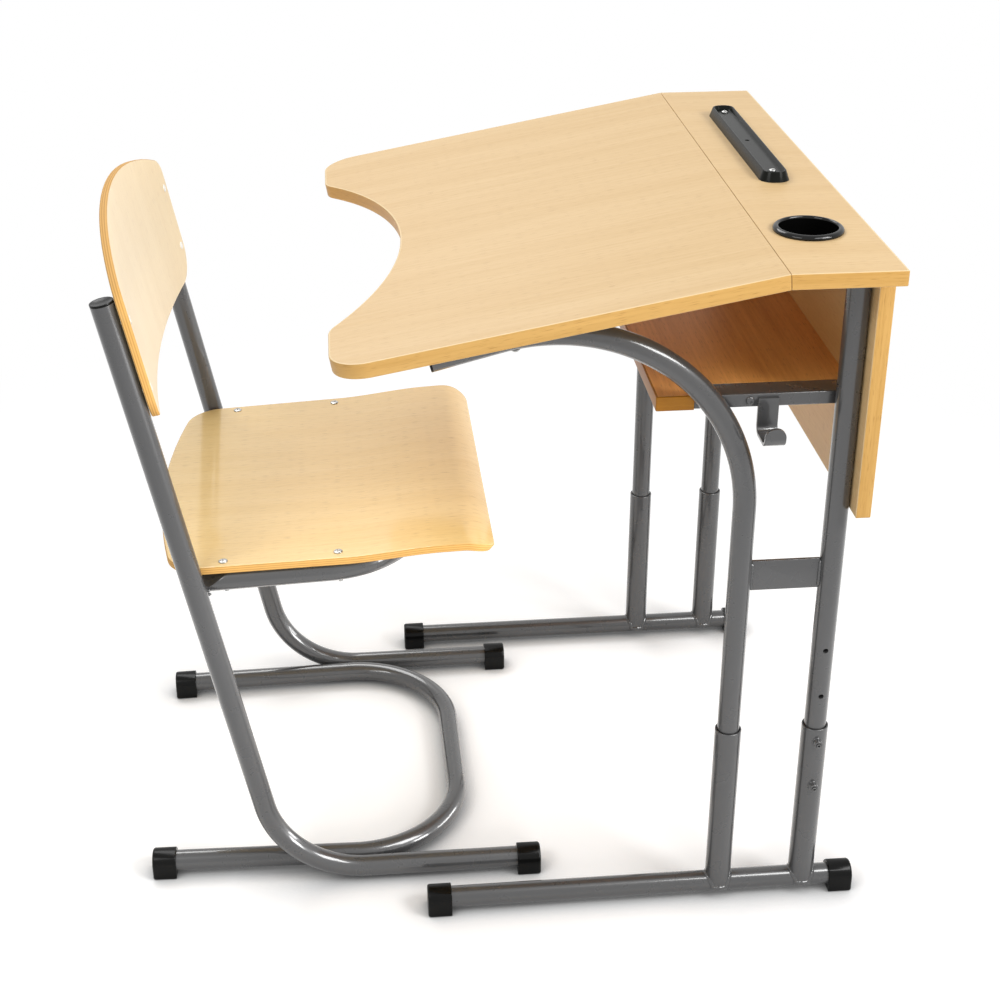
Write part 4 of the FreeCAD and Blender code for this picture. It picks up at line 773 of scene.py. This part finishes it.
def pierced(rim, hole, radius, thick, slant):
    """Four rings of a sheet with a round hole: the hole's edge above, the rim above, the rim below, whose
    first side slants, and the hole's edge below. A point of the hole lies towards its point of the rim."""
    edge = hole + radius * headings(np.arctan2(*(rim - hole).T[::-1]))
    slanted = rim + slant * (rim[:, :1] < rim[:, 0].min() + 1e-6) * (1, 0)
    return raised(np.stack([edge, rim, slanted, edge]), np.array([0, 0, -thick, -thick])[:, None, None])


def board(name, line, outward, thick, origin, axes, mitre=0.0, across=False, banded=slice(None), closed=False,
          hole=None, face=laminate, trim=edge_band):
    """A core and its band. The core is the outline drawn in by the band's thickness, at both faces. The band
    is a section with two eased corners, carried along the outline. A mitre draws the ends back with depth."""
    axes = np.asarray(axes, float)
    ends = np.zeros(len(line), bool)
    ends[[0, -1]] = True
    inset = np.where(ends[:, None], outward * (0, 1), outward) if mitre else outward
    core = raised(np.stack([line - band_thick * inset] * 2), np.array([0, -thick])[:, None, None])
    core[1, ends, 0] -= mitre * thick
    if hole:
        core = pierced(divided(core[0, :, :2], hole_step), *hole, thick, -mitre * thick)
    make_piece(f"{name}_core", [skin(core @ axes + origin, wrap_rows=bool(hole))], face, "desk_top",
               "board_laminate", [name], runs=core[..., [1, 0, 2] if across else [0, 1, 2]])
    profile = bent_path([(band_thick, 0), (0, 0), (0, thick), (band_thick, thick)], band_ease, steps=6)
    edge, way, tip = line[banded], inset[banded], ends[banded]
    band = raised(edge[:, None] - profile[:, :1] * way[:, None], -profile[:, 1:])
    band[tip, :, 0] -= mitre * profile[:, 1]
    length, inwards = np.broadcast_arrays(lengths(edge)[:, None], profile[:, 0])
    make_piece(f"{name}_band", [skin(band @ axes + origin, wrap_rows=closed)], trim, "desk_top", "board_edge",
               [f"{name}_edge_band"], runs=np.stack([length, -band[..., 2], inwards], -1))


low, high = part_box("rear_strip_edge_band")
thick = high.z - low.z
half = high.y
seam = np.array([low.x - seam_gap / 2, 0, high.z])
chest_centre = chest_deep - top_deep - chest
round_x = chest_round - top_deep
round_y = math.sqrt((chest + chest_round) ** 2 - (round_x - chest_centre) ** 2)
round_turn = math.degrees(math.atan2(round_y, chest_centre - round_x))
line, outward = outline(mirrored([(-seam_gap / 2, top_corner - half, top_corner, 270, 270),
                                  (top_corner - top_deep, top_corner - half, top_corner, 270, 180),
                                  (round_x, -round_y, chest_round, 180, round_turn)],
                                 (chest_centre, 0, -chest, round_turn - 180, 180 - round_turn)), steps=56)
tilted = [(math.cos(slope), 0, math.sin(slope)), (0, 1, 0), (-math.sin(slope), 0, math.cos(slope))]
board("worktop", line, outward, thick, seam, tilted, mitre=math.tan(slope / 2))

strip_deep = high.x - seam[0]
strip_edge = half - band_thick
line, outward = outline(mirrored([(seam_gap / 2, strip_edge, band_thick, 90, 90),
                                  (strip_deep - band_thick, strip_edge, band_thick, 90, 0)]), steps=8)
level = np.eye(3)
cup_low, cup_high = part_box("cup_insert")
cup_hole = (np.array(((cup_low + cup_high) / 2 - Vector(seam)).to_2d()), cup_hole_radius)
board("rear_strip", line, outward, thick, seam, level, mitre=-math.tan(slope / 2), hole=cup_hole)

low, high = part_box("front_panel_edge_band")
line, outward = box_outline(low.y, low.z, high.y, high.z, band_thick, steps=8)
upright = [(0, 1, 0), (0, 0, 1), (-1, 0, 0)]
board("front_panel", line, outward, high.x - low.x, (low.x, 0, 0), upright, closed=True)

low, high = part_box("shelf_edge_band")
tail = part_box("shelf")[1].x
tail_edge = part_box("shelf_rail_left")[0].y - rail_gap - band_thick
wing_edge = high.y - band_thick
line, outward = outline(mirrored([(tail, tail_edge, band_thick, 90, 90),
                                  (high.x, tail_edge, band_thick, 90, 90),
                                  (high.x, wing_edge, band_thick, 90, 90),
                                  (low.x + band_thick, wing_edge, band_thick, 90, 180)]), steps=8)
outward[[0, 1, -2, -1]] = 0
# The shelf takes the darker laminate and band: painted shade.
board("shelf", line, outward, thick, (0, 0, high.z), level, across=True, banded=slice(2, -2),
      face=shaded_shelf_laminate, trim=shaded_shelf_band)

# Screws of the boards
# Pan-head wood screws in bright zinc with a cross recess: up through the arms and straps, and through the
# front panel into the rear legs. Those through the shelf rails have plain heads, painted with the rails.

zinc_steel = skin_finish("zinc_steel", (0.42, 0.42, 0.41), gloss=0.36, dimples=1500.0, depth=0.05,
                         metallic=1.0)
head_radius = 0.0045
head_high = 0.0026
shank_radius = 0.0025
shank_centre = 0.0004
shelf_screw_long = 0.030
head_skirt = 0.35
head_foot, head_foot_rise = 0.94, 0.12
dome_end = 0.02
slot_half, slot_reach, slot_soft, slot_deep = 0.13, 0.52, 0.09, 0.55


def fastener(radius, height, shank, length, place, way, recess=True):
    """A turned shank and domed head about Z. In the dome's middle a cross sinks where either side coordinate
    is below the slot's half width, softened over the slot's edge."""
    dome = np.linspace(math.pi / 2, dome_end, 18)
    cap = np.stack([radius * np.sin(dome), height * (head_skirt + (1 - head_skirt) * np.cos(dome))], -1)
    stem = [(shank_centre, -length), (shank, -length), (shank, 0), (radius * head_foot, 0),
            (radius, height * head_foot_rise)]
    points = turned(np.vstack([stem, cap]))
    if recess:
        head = points[len(stem):]
        across, along = np.moveaxis(np.sort(np.abs(head[..., :2]), -1), -1, 0) / radius
        narrow, near = [np.clip((limit - away) / slot_soft + 0.5, 0, 1)
                        for limit, away in ((slot_half, across), (slot_reach, along))]
        head[..., 2] -= slot_deep * height * narrow * near
    return skin(seated(points, place, way))


low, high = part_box("panel_screws")
shank_long = high.x - head_high - low.x
screws = [fastener(head_radius, head_high, shank_radius, shank_long, (high.x - head_high, y, z), (1, 0, 0))
          for y in (low.y + head_radius, high.y - head_radius)
          for z in (low.z + head_radius, high.z - head_radius)]
make_piece("panel_pan_screws", screws, zinc_steel, "desk_top", "zinc_steel", ["panel_screws"])
low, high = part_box("shelf_screws")
middle = (low + high) / 2
screws = [fastener(head_radius, head_high, shank_radius, shelf_screw_long,
                   (middle.x, side * (high.y - head_high), middle.z), (0, side, 0), recess=False)
          for _, side in sides]
painted("shelf_pan_screws", screws, "desk_top", "shelf_screws")
dress(zinc_steel, "zinc_steel", "arm_screws", "strip_screws", "strap_screws")
dress(frame_paint, "frame_paint", "seam_strap_right", "seam_strap_left")

# Pen tray
# A black plastic trough with drafted sides and a soft rim, moulded in one piece. Two bright screws in its
# floor hold it on the rear strip, beside an empty hole in the middle.

tray_plastic = skin_finish("tray_plastic", (0.007, 0.0078, 0.0065), gloss=0.2, dimples=1100.0, depth=0.02,
                           specular_ior_level=0.09)
tray_corner = 0.015
tray_draft = 0.004
tray_rim = 0.0016
tray_sink = 0.0045
tray_floor_draft = 0.0025
tray_floor_edge = 2 * tray_floor_draft / 3 + 0.002
tray_ease = 0.0009
tray_hole = 0.0027
tray_head = 0.0039
tray_points = 480


def evened(line, outward, count):
    """The same closed outline at even steps along its length, with its outward directions."""
    closed = np.vstack([line, line[:1]])
    ways = np.vstack([outward, outward[:1]])
    length = lengths(closed)
    steps = np.linspace(0, length[-1], count, endpoint=False)
    facing = read_off(ways, length, steps)
    return read_off(closed, length, steps), facing / np.linalg.norm(facing, axis=1, keepdims=True)


low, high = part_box("pen_tray")
middle = (low + high) / 2
half_u, half_v = (high.x - low.x) / 2, (high.y - low.y) / 2
tall = high.z - low.z
tray_floor = tall - tray_sink
line, outward = evened(*box_outline(-half_u, -half_v, half_u, half_v, tray_corner, steps=10), tray_points)
mouth = tray_draft + tray_rim
rows = bent_path([(0, 0), (tray_draft, tall), (mouth, tall), (mouth + tray_floor_draft, tray_floor),
                  (mouth + tray_floor_edge, tray_floor)], tray_ease, steps=6)
floor_line = line - rows[-1, 0] * outward
hole = tray_hole * headings(np.arctan2(floor_line[:, 1], floor_line[:, 0]))
place = np.array([middle.x, middle.y, low.z])
trough = plate_points(line, outward, rows, place, level)
tray = np.concatenate([trough, np.stack([raised(hole, tray_floor), raised(hole, 0)]) + place])
make_piece("pen_tray_moulding", [skin(tray)], tray_plastic, "desk_top", "tray_plastic", ["pen_tray"])
screw_low, screw_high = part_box("tray_screws_pair")
floor_height = low.z + tray_floor
shank_long = floor_height - screw_low.z
screws = [fastener(tray_head, head_high, shank_radius, shank_long, (middle.x, y, floor_height), upwards)
          for y in (screw_low.y + head_radius, screw_high.y - head_radius)]
make_piece("tray_pan_screws", screws, zinc_steel, "desk_top", "zinc_steel", ["tray_screws_pair"])

# Cup insert
# A round black plastic cup dropped into a hole in the rear strip. It hangs by a crowned flange that rises to
# a ridge and rolls over it into the cup, and it is open above.

cup_plastic = skin_finish("cup_plastic", (0.003, 0.003, 0.0028), gloss=0.07, dimples=900.0, depth=0.004,
                          specular_ior_level=0.3)
cup_bore = 0.030
cup_wall = 0.002
cup_deep = 0.034
cup_rim = 0.005
cup_ease = 0.0009
cup_centre = 0.0005
roll_round = 0.002
roll_drop = 0.003
crown_start = 0.28

low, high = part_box("cup_insert")
flange = (high.y - low.y) / 2
shell = cup_bore + cup_wall
ridge = cup_bore + roll_round
closing, rising = headings(np.linspace(0, math.pi / 2, 14)).T
crown_height = cup_rim * (crown_start + (1 - crown_start) * rising)
crown = np.stack([ridge + (flange - ridge) * closing, crown_height], -1)
roll = np.stack([ridge - roll_round * rising, cup_rim - roll_drop * (1 - closing)], -1)[1:]
wall = bent_path([(cup_centre, -cup_deep), (shell, -cup_deep), (shell, 0), (flange, 0), *crown, *roll,
                  (cup_bore, cup_wall - cup_deep), (cup_centre, cup_wall - cup_deep)], cup_ease, steps=5)
cup = turned(wall, count=96) + np.array([high.x - flange, (low.y + high.y) / 2, high.z - cup_rim])
make_piece("cup_insert_moulding", [skin(cup)], cup_plastic, "desk_top", "black_plastic", ["cup_insert"])

# Chair side tubes and floor loop
# Each side of the chair is one tube that lies on the floor, turns up behind, and leans back as a post.
# Between them a flat U of the same tube lies on the floor, welded to them at its bends, with caps behind.

foot_bend = 0.120
floor_tube_top = 0.029
post_lean = math.radians(11)
loop_bend = 0.128
loop_taper = math.radians(1.7)
loop_half = 0.205155
loop_weld_half = 0.022
loop_weld_rise = 0.0035
loop_weld_out = 0.0002
rear_cap_inset = 0.0004
post_up = np.array([-math.sin(post_lean), 0, math.cos(post_lean)])
post_ahead = np.array([math.cos(post_lean), 0, math.sin(post_lean)])

post_plugs = []
for name, _ in sides:
    low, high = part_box(f"side_tube_{name}")
    floor_axis = (low.z + floor_tube_top) / 2
    y = (low.y + high.y) / 2
    top = np.array([low.x, y, high.z]) + tube_radius * post_ahead * (1, 0, -1)
    foot = np.array([top[0] + (top[2] - floor_axis) * math.tan(post_lean), y, floor_axis])
    line = bent_path([(high.x, y, floor_axis), foot, top], foot_bend, steps=48)
    painted(f"side_tube_{name}_bend", [tube_along(line, (0, 1, 0))], "chair", f"side_tube_{name}")
    post_plugs.append(tube_plug(top, post_up))
    cap_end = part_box(f"chair_front_cap_{name}")[1].x
    foot_cap(f"chair_front_cap_{name}", "chair", (cap_end, y), (-1, 0))
make_piece("post_end_plugs", post_plugs, black_plastic, "chair", "black_plastic", ["post_plugs"])

low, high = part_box("floor_loop")
nose = high.x - tube_radius
tail_half = loop_half - (nose - low.x) * math.tan(loop_taper)
line = bent_path([(low.x, -tail_half, floor_axis), (nose, -loop_half, floor_axis),
                  (nose, loop_half, floor_axis), (low.x, tail_half, floor_axis)], loop_bend, steps=40)
painted("floor_loop_bend", [tube_along(line, upwards)], "chair", "floor_loop")
touch_x = line[np.argmax(line[:, 1]), 0]
touch_y = max(line[:, 1]) + tube_radius + loop_weld_out
loop_welds = []
for name, side in sides:
    cap_low, cap_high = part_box(f"chair_rear_cap_{name}")
    way = (math.cos(loop_taper), side * math.sin(loop_taper))
    start = (cap_low.x + rear_cap_inset, (cap_low.y + cap_high.y) / 2 - cap_long / 2 * way[1])
    foot_cap(f"chair_rear_cap_{name}", "chair", start, way)
    for z in (floor_axis - loop_weld_rise, floor_axis + loop_weld_rise):
        run = [(x, side * touch_y, z) for x in (touch_x - loop_weld_half, touch_x + loop_weld_half)]
        loop_welds.append(bead(np.linspace(*run, 90), upwards, plate_weld))
painted("floor_loop_welds", loop_welds, "chair")

# Seat support
# A U of the same tube under the seat. Its rear ends are pressed down to a slanted face beside the posts and
# welded to them, and the seat is bolted down through its legs.

support_bend = 0.100
support_tail = 0.040
support_nose = 0.294
support_gap = 0.0002
support_weld_half = 0.012
support_weld_sunk = 0.0005
support_weld_rises = (-0.9, -0.5)
press_start = 0.045
press_run = 0.050
press_past = 1.2
press_deep = 1.6
press_steps = 40
seat_slope = math.radians(2.5)
seat_height = 0.425
ply = 0.009
seat_rear = np.array([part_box("seat")[0].x, 0, seat_height])
seat_axes = np.array([(math.cos(seat_slope), 0, math.sin(seat_slope)), (0, 1, 0),
                      (-math.sin(seat_slope), 0, math.cos(seat_slope))])


def smooth(value):
    """0 to 1 with soft ends: three times the square, less twice the cube."""
    value = np.clip(value, 0, 1)
    return value * value * (3 - 2 * value)


low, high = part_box("seat_support")
leg_y = high.y - tube_radius
drop = -(ply + support_gap + tube_radius)
ahead = np.linspace(support_tail, press_start + press_past * press_run, press_steps)
flat_line = bent_path([(ahead[-1], -leg_y, drop), (support_nose, -leg_y, drop), (support_nose, leg_y, drop),
                       (ahead[-1], leg_y, drop)], support_bend, steps=40)
legs = (0, -leg_y, drop) + ahead[:-1, None] * (1, 0, 0)
flat_line = np.vstack([legs, flat_line, (legs * (1, -1, 1))[::-1]])
pressed = 1 - smooth((flat_line[:, :1] - press_start) / press_run)
circle = ring(tube_radius, 96)
slant = tube_radius - press_deep * pressed * (circle[:, 1] + tube_radius) / 2
section = np.stack([np.minimum(circle[:, 0], slant), np.broadcast_to(circle[:, 1], slant.shape)], -1)
support = swept(flat_line, (0, 0, 1), section) @ seat_axes + seat_rear
painted("seat_support_bend", [skin(support)], "chair", "seat_support")
support_welds = []
half_run = np.array([support_weld_half, 0, 0])
for _, side in sides:
    for rise in support_weld_rises:
        spot = flat_line[0] * (1, -side, 1) + half_run
        spot = spot + (0, side * (tube_radius - support_weld_sunk), rise * tube_radius)
        run = np.linspace(spot - half_run, spot + half_run, 60) @ seat_axes + seat_rear
        support_welds.append(bead(run, upwards, plate_weld))
painted("seat_support_welds", support_welds, "chair")

# Seat
# Nine millimetres of beech plywood, pressed in a mould so that its front turns down, then cut to outline,
# rounded at the edges by hand and lacquered glossy. The grain runs from front to back, and four bolts with
# domed heads hold the sheet on its support.

ply_layers = (ply, 7, (0.76, 0.44, 0.13), (0.58, 0.3, 0.075))
bent_ply = wood_finish("bent_ply", light=(0.92, 0.65, 0.255), dark=(0.85, 0.565, 0.19),
                       pore=(0.5, 0.27, 0.08), gloss=0.42, layers=ply_layers, coat_roughness=0.1)
edge_round = 0.0018
seat_deep = 0.380
rear_half = 0.212
front_half = 0.220
rear_sweep = 0.024
rear_corner = 0.045
front_corner = 0.026
lip_bend = 0.052
lip_turn = math.radians(44)
front_rise = 0.006
rise_start, rise_run = 0.212, 0.11
seat_middle = np.array([0.19, 0])
sheet_points = 420
sheet_sharp = 50.0
rings = np.concatenate([np.linspace(0.02, 0.74, 14), np.linspace(0.76, 0.997, 34)])
bolt_radius = 0.005
bolt_high = 0.0018
bolt_shank = 0.0025
bolt_long = 0.0362
bolt_places = (0.080, 0.206)


def sheet_grid(line, outward, middle):
    """Rings over a plywood sheet cut to an outline, as place on the sheet and depth in it: out from the
    middle over the upper face, round the eased edge, and back in below."""
    rows = eased_rows(ply, edge_round, steps=6)
    rim = raised(line - rows[:, None, :1] * outward, rows[:, None, 1:])
    faces = middle + rings[:, None, None] * (rim[0, :, :2] - middle)
    return np.concatenate([raised(faces, 0), rim, raised(faces, ply)[::-1]])


arch = (rear_half ** 2 + rear_sweep ** 2) / (2 * rear_sweep)
taper = math.atan2(front_half - rear_half, seat_deep - rear_sweep)
front_x = seat_deep - front_corner
side_at = np.array([rear_sweep, rear_half])
side_way = np.array([math.cos(taper), math.sin(taper)])
side_out = np.array([-side_way[1], side_way[0]])
front_y = (side_at + side_way * (front_x - rear_sweep) / side_way[0])[1] - front_corner / side_way[0]
base = side_at - rear_corner * side_out - np.array([arch, 0])
half_way = base @ side_way
rear_spot = base - side_way * (half_way + math.sqrt(half_way ** 2 - base @ base + (arch - rear_corner) ** 2))
rear_spot += np.array([arch, 0])
side_angle = 90 + math.degrees(taper)
rear_angle = math.degrees(math.atan2(rear_spot[1], rear_spot[0] - arch))
seat_arcs = mirrored([(front_x, front_y, front_corner, 0, side_angle),
                      (*rear_spot, rear_corner, side_angle, rear_angle)],
                     (arch, 0, arch, rear_angle, 360 - rear_angle))
grid = sheet_grid(*evened(*outline(seat_arcs, steps=40), sheet_points), seat_middle)
flat_end = seat_deep - lip_bend * math.sin(lip_turn)
along, across, depth = np.moveaxis(grid, -1, 0)
swing = np.arcsin(np.clip((along - flat_end) / lip_bend, 0, 1))
sag = lip_bend * (1 - np.cos(swing)) - front_rise * smooth((along - rise_start) / rise_run)
local = np.stack([along - depth * np.sin(swing), across, -sag - depth * np.cos(swing)], -1)
runs = np.stack([np.minimum(along, flat_end) + lip_bend * swing, across, depth], -1)
make_piece("seat_sheet", [skin(local @ seat_axes + seat_rear)], bent_ply, "chair", "bent_ply", ["seat"],
           runs=runs, sharp=sheet_sharp)
bolts = [fastener(bolt_radius, bolt_high, bolt_shank, bolt_long,
                  np.array([ahead, side * leg_y, 0]) @ seat_axes + seat_rear, seat_axes[2])
         for _, side in sides for ahead in bolt_places]
make_piece("seat_dome_bolts", bolts, zinc_steel, "chair", "zinc_steel", ["seat_bolts"])

# Backrest
# A second beech sheet, bowed round the sitter's back and arched above, riveted to the front of both posts.
# Its veneer is drawn paler than the seat's, as painted light from the bright side, and its grain runs
# upwards.

# Paler than the seat's ply: painted light on the same veneer.
back_ply_painted_light = wood_finish("back_ply_painted_light", light=(0.9, 0.69, 0.37), dark=(0.84, 0.62, 0.3), pore=(0.6, 0.38, 0.15),
                       gloss=0.42, layers=ply_layers, coat_roughness=0.3)
rivet_metal = skin_finish("rivet_metal", (0.88, 0.86, 0.82), gloss=0.5, dimples=1500.0, depth=0.03,
                          metallic=1.0)
back_half = 0.235
back_low = 0.140
back_high = 0.056
back_arch = 0.590
back_bow = 1.321
back_centre = 1.32346
back_middle = np.array([0, -0.045])
low_corner = 0.040
high_corner = 0.025
grain_shift = np.array([0, 0.7, 0])
rivet_radius = 0.0045
rivet_high = 0.0012
rivet_long = 0.0157
rivet_places = (0.024, 0.100)

arch_z = back_high - back_arch
corner_y = back_half - high_corner
corner_z = arch_z + math.sqrt((back_arch - high_corner) ** 2 - corner_y ** 2)
corner_turn = math.degrees(math.atan2(corner_z - arch_z, corner_y))
low_y, low_z = back_half - low_corner, low_corner - back_low
back_arcs = [(corner_y, corner_z, high_corner, 0, corner_turn),
             (0, arch_z, back_arch, corner_turn, 180 - corner_turn),
             (-corner_y, corner_z, high_corner, 180 - corner_turn, 180),
             (-low_y, low_z, low_corner, 180, 270), (low_y, low_z, low_corner, 270, 360)]
grid = sheet_grid(*evened(*outline(back_arcs, steps=40), sheet_points), back_middle)
across, up, depth = np.moveaxis(grid, -1, 0)
local = np.stack([back_centre - np.sqrt((back_bow + depth) ** 2 - across ** 2), across, up], -1)
back_top = top * (1, 0, 1)
back_axes = np.array([post_ahead, (0, 1, 0), post_up])
make_piece("backrest_sheet", [skin(local @ back_axes + back_top)], back_ply_painted_light, "chair", "bent_ply",
           ["backrest"], runs=grid[..., [1, 0, 2]] + grain_shift, sharp=sheet_sharp)

swing = math.atan2(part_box("side_tube_left")[1].y - tube_radius, back_centre)
rivets = []
for _, side in sides:
    way = np.array([math.cos(swing), -side * math.sin(swing), 0])
    for below in rivet_places:
        spot = np.array([back_centre, 0, -below]) - back_bow * way
        rivets.append(fastener(rivet_radius, rivet_high, bolt_shank, rivet_long, spot @ back_axes + back_top,
                               way @ back_axes, recess=False))
make_piece("back_dome_rivets", rivets, rivet_metal, "chair", "zinc_steel", ["back_rivets"])

# Studio
# A wide pale floor that fades to plain white away from the object, soft lamps from above and both sides, and
# the camera at the photograph's angle. Two low lamps are kept off all but the chair, and the lamp that puts
# the bright lines on the tubes is kept off all but paint and black plastic.

floor_half = 7
floor_drop = 0.0005
floor_tone = 0.88
floor_lift = 0.37
# How far from the object the floor's painted contact shadow reaches.
painted_shadow_reach = 0.08
white_near, white_far = 0.8, 1.6
fill_light = 0.2
white = (1, 1, 1, 1)


def seen_rays(tree):
    """1 for rays from the camera, from a glossy face or through glass, and 0 for the rest."""
    rays = add_node(tree, "LightPath", {}).outputs
    seen = worked(tree, "MAXIMUM", rays["Is Camera Ray"], rays["Is Glossy Ray"])
    return worked(tree, "MAXIMUM", seen, rays["Is Transmission Ray"])


floor_mesh = bpy.data.meshes.new("studio_floor")
corners = [(x * floor_half, y * floor_half, 0) for x, y in ((-1, -1), (1, -1), (1, 1), (-1, 1))]
floor_mesh.from_pydata(corners, [], [(0, 1, 2, 3)])
floor = bpy.data.objects.new("studio_floor", floor_mesh)
floor.location.z = -floor_drop
bpy.context.scene.collection.objects.link(floor)
floor_paint = bpy.data.materials.new("studio_floor")
floor_paint.use_nodes = True
floor_paint.cycles.emission_sampling = "NONE"
tree = floor_paint.node_tree
tree.nodes.clear()
# The floor's colour and its lift both fall with ambient occlusion near the object: a painted contact shadow.
outside_painted_shadow = add_node(tree, "AmbientOcclusion", {"Distance": painted_shadow_reach}, samples=8).outputs["AO"]
floor_colour_painted_shadow = mixed(tree, outside_painted_shadow, (0, 0, 0), (floor_tone, floor_tone, floor_tone))
lit = add_node(tree, "BsdfDiffuse", {"Color": floor_colour_painted_shadow}).outputs["BSDF"]
lift_painted_shadow = worked(tree, "MULTIPLY", outside_painted_shadow, floor_lift)
lift = add_node(tree, "Emission", {"Color": white, "Strength": lift_painted_shadow}).outputs["Emission"]
seen = seen_rays(tree)
lifted = add_node(tree, "AddShader", {0: lit, 1: lift}).outputs["Shader"]
near_tone = add_node(tree, "MixShader", {0: seen, 1: lit, 2: lifted}).outputs["Shader"]
place = add_node(tree, "TexCoord", {}).outputs["Object"]
away = add_node(tree, "VectorMath", {0: place}, operation="LENGTH").outputs["Value"]
fade = add_node(tree, "MapRange", {"Value": away, "From Min": white_near, "From Max": white_far},
                interpolation_type="SMOOTHSTEP").outputs["Result"]
glow = add_node(tree, "Emission", {"Color": white, "Strength": 1.0}).outputs["Emission"]
shown = add_node(tree, "MixShader", {0: worked(tree, "MULTIPLY", fade, seen), 1: near_tone, 2: glow})
add_node(tree, "OutputMaterial", {"Surface": shown.outputs["Shader"]})
floor_mesh.materials.append(floor_paint)
floor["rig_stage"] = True

world = bpy.data.worlds.new("studio_world")
bpy.context.scene.world = world
world.use_nodes = True
tree = world.node_tree
tree.nodes.clear()
strength = ranged(tree, seen_rays(tree), to_min=fill_light, to_max=1.0)
sky = add_node(tree, "Background", {"Color": white, "Strength": strength}).outputs["Background"]
add_node(tree, "OutputWorld", {"Surface": sky})

chair_only = bpy.data.collections.new("chair_only")
glossy_only = bpy.data.collections.new("glossy_only")
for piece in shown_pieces():
    if piece.get("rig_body") == "chair":
        chair_only.objects.link(piece)
    if piece.get("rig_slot") in ("frame_paint", "black_plastic"):
        glossy_only.objects.link(piece)
lights_only = {"low_lamp": chair_only, "lip_lamp": chair_only, "glint_lamp": glossy_only}
lamps = (
    ("left_lamp", (-1.65, -1.65, 2.39), (0, 0, 0.5), 1.4, 0.9, 28.0),
    ("right_lamp", (1.9, -1.4, 2.1), (0, 0, 0.5), 1.2, 0.8, 46.0),
    ("side_lamp", (0.6, -2.9, 0.9), (0, 0, 0.5), 1.2, 0.8, 28.0),
    ("low_lamp", (2.7, -1.5, 0.7), (-0.2, 0, 0.5), 1.2, 0.8, 64.0),
    ("lip_lamp", (2.9, 0.2, 0.5), (0, 0, 0.4), 1.6, 0.6, 40.0),
    ("top_lamp", (-0.7, 1.5, 2.5), (0, 0, 0.5), 1.6, 1.0, 32.0),
    ("glint_lamp", (1.3, -1.17, 2.42), (0, 0, 0.5), 1.5, 0.6, 40.0),
)
for name, place, aim, wide, deep, power in lamps:
    light = bpy.data.lights.new(name, "AREA")
    light.shape = "RECTANGLE"
    light.size, light.size_y = wide, deep
    light.energy = power
    lamp = bpy.data.objects.new(name, light)
    lamp.location = place
    lamp.visible_diffuse = name != "glint_lamp"
    lamp.visible_glossy = name != "side_lamp"
    if name in lights_only:
        lamp.light_linking.receiver_collection = lights_only[name]
    lamp.rotation_mode = "QUATERNION"
    lamp.rotation_quaternion = (Vector(aim) - Vector(place)).to_track_quat("-Z", "Y")
    bpy.context.scene.collection.objects.link(lamp)

lens = bpy.data.cameras.new("photo_camera")
lens.lens = 61.81
lens.sensor_width = 36
lens.sensor_fit = "HORIZONTAL"
camera = bpy.data.objects.new("photo_camera", lens)
camera.location = (-0.1558, -1.8644, 1.3545)
camera.rotation_mode = "QUATERNION"
camera.rotation_quaternion = Vector((0.08527, 0.88496, -0.45780)).to_track_quat("-Z", "Y")
bpy.context.scene.collection.objects.link(camera)
bpy.context.scene.camera = camera
bpy.context.scene.view_settings.view_transform = "Standard"
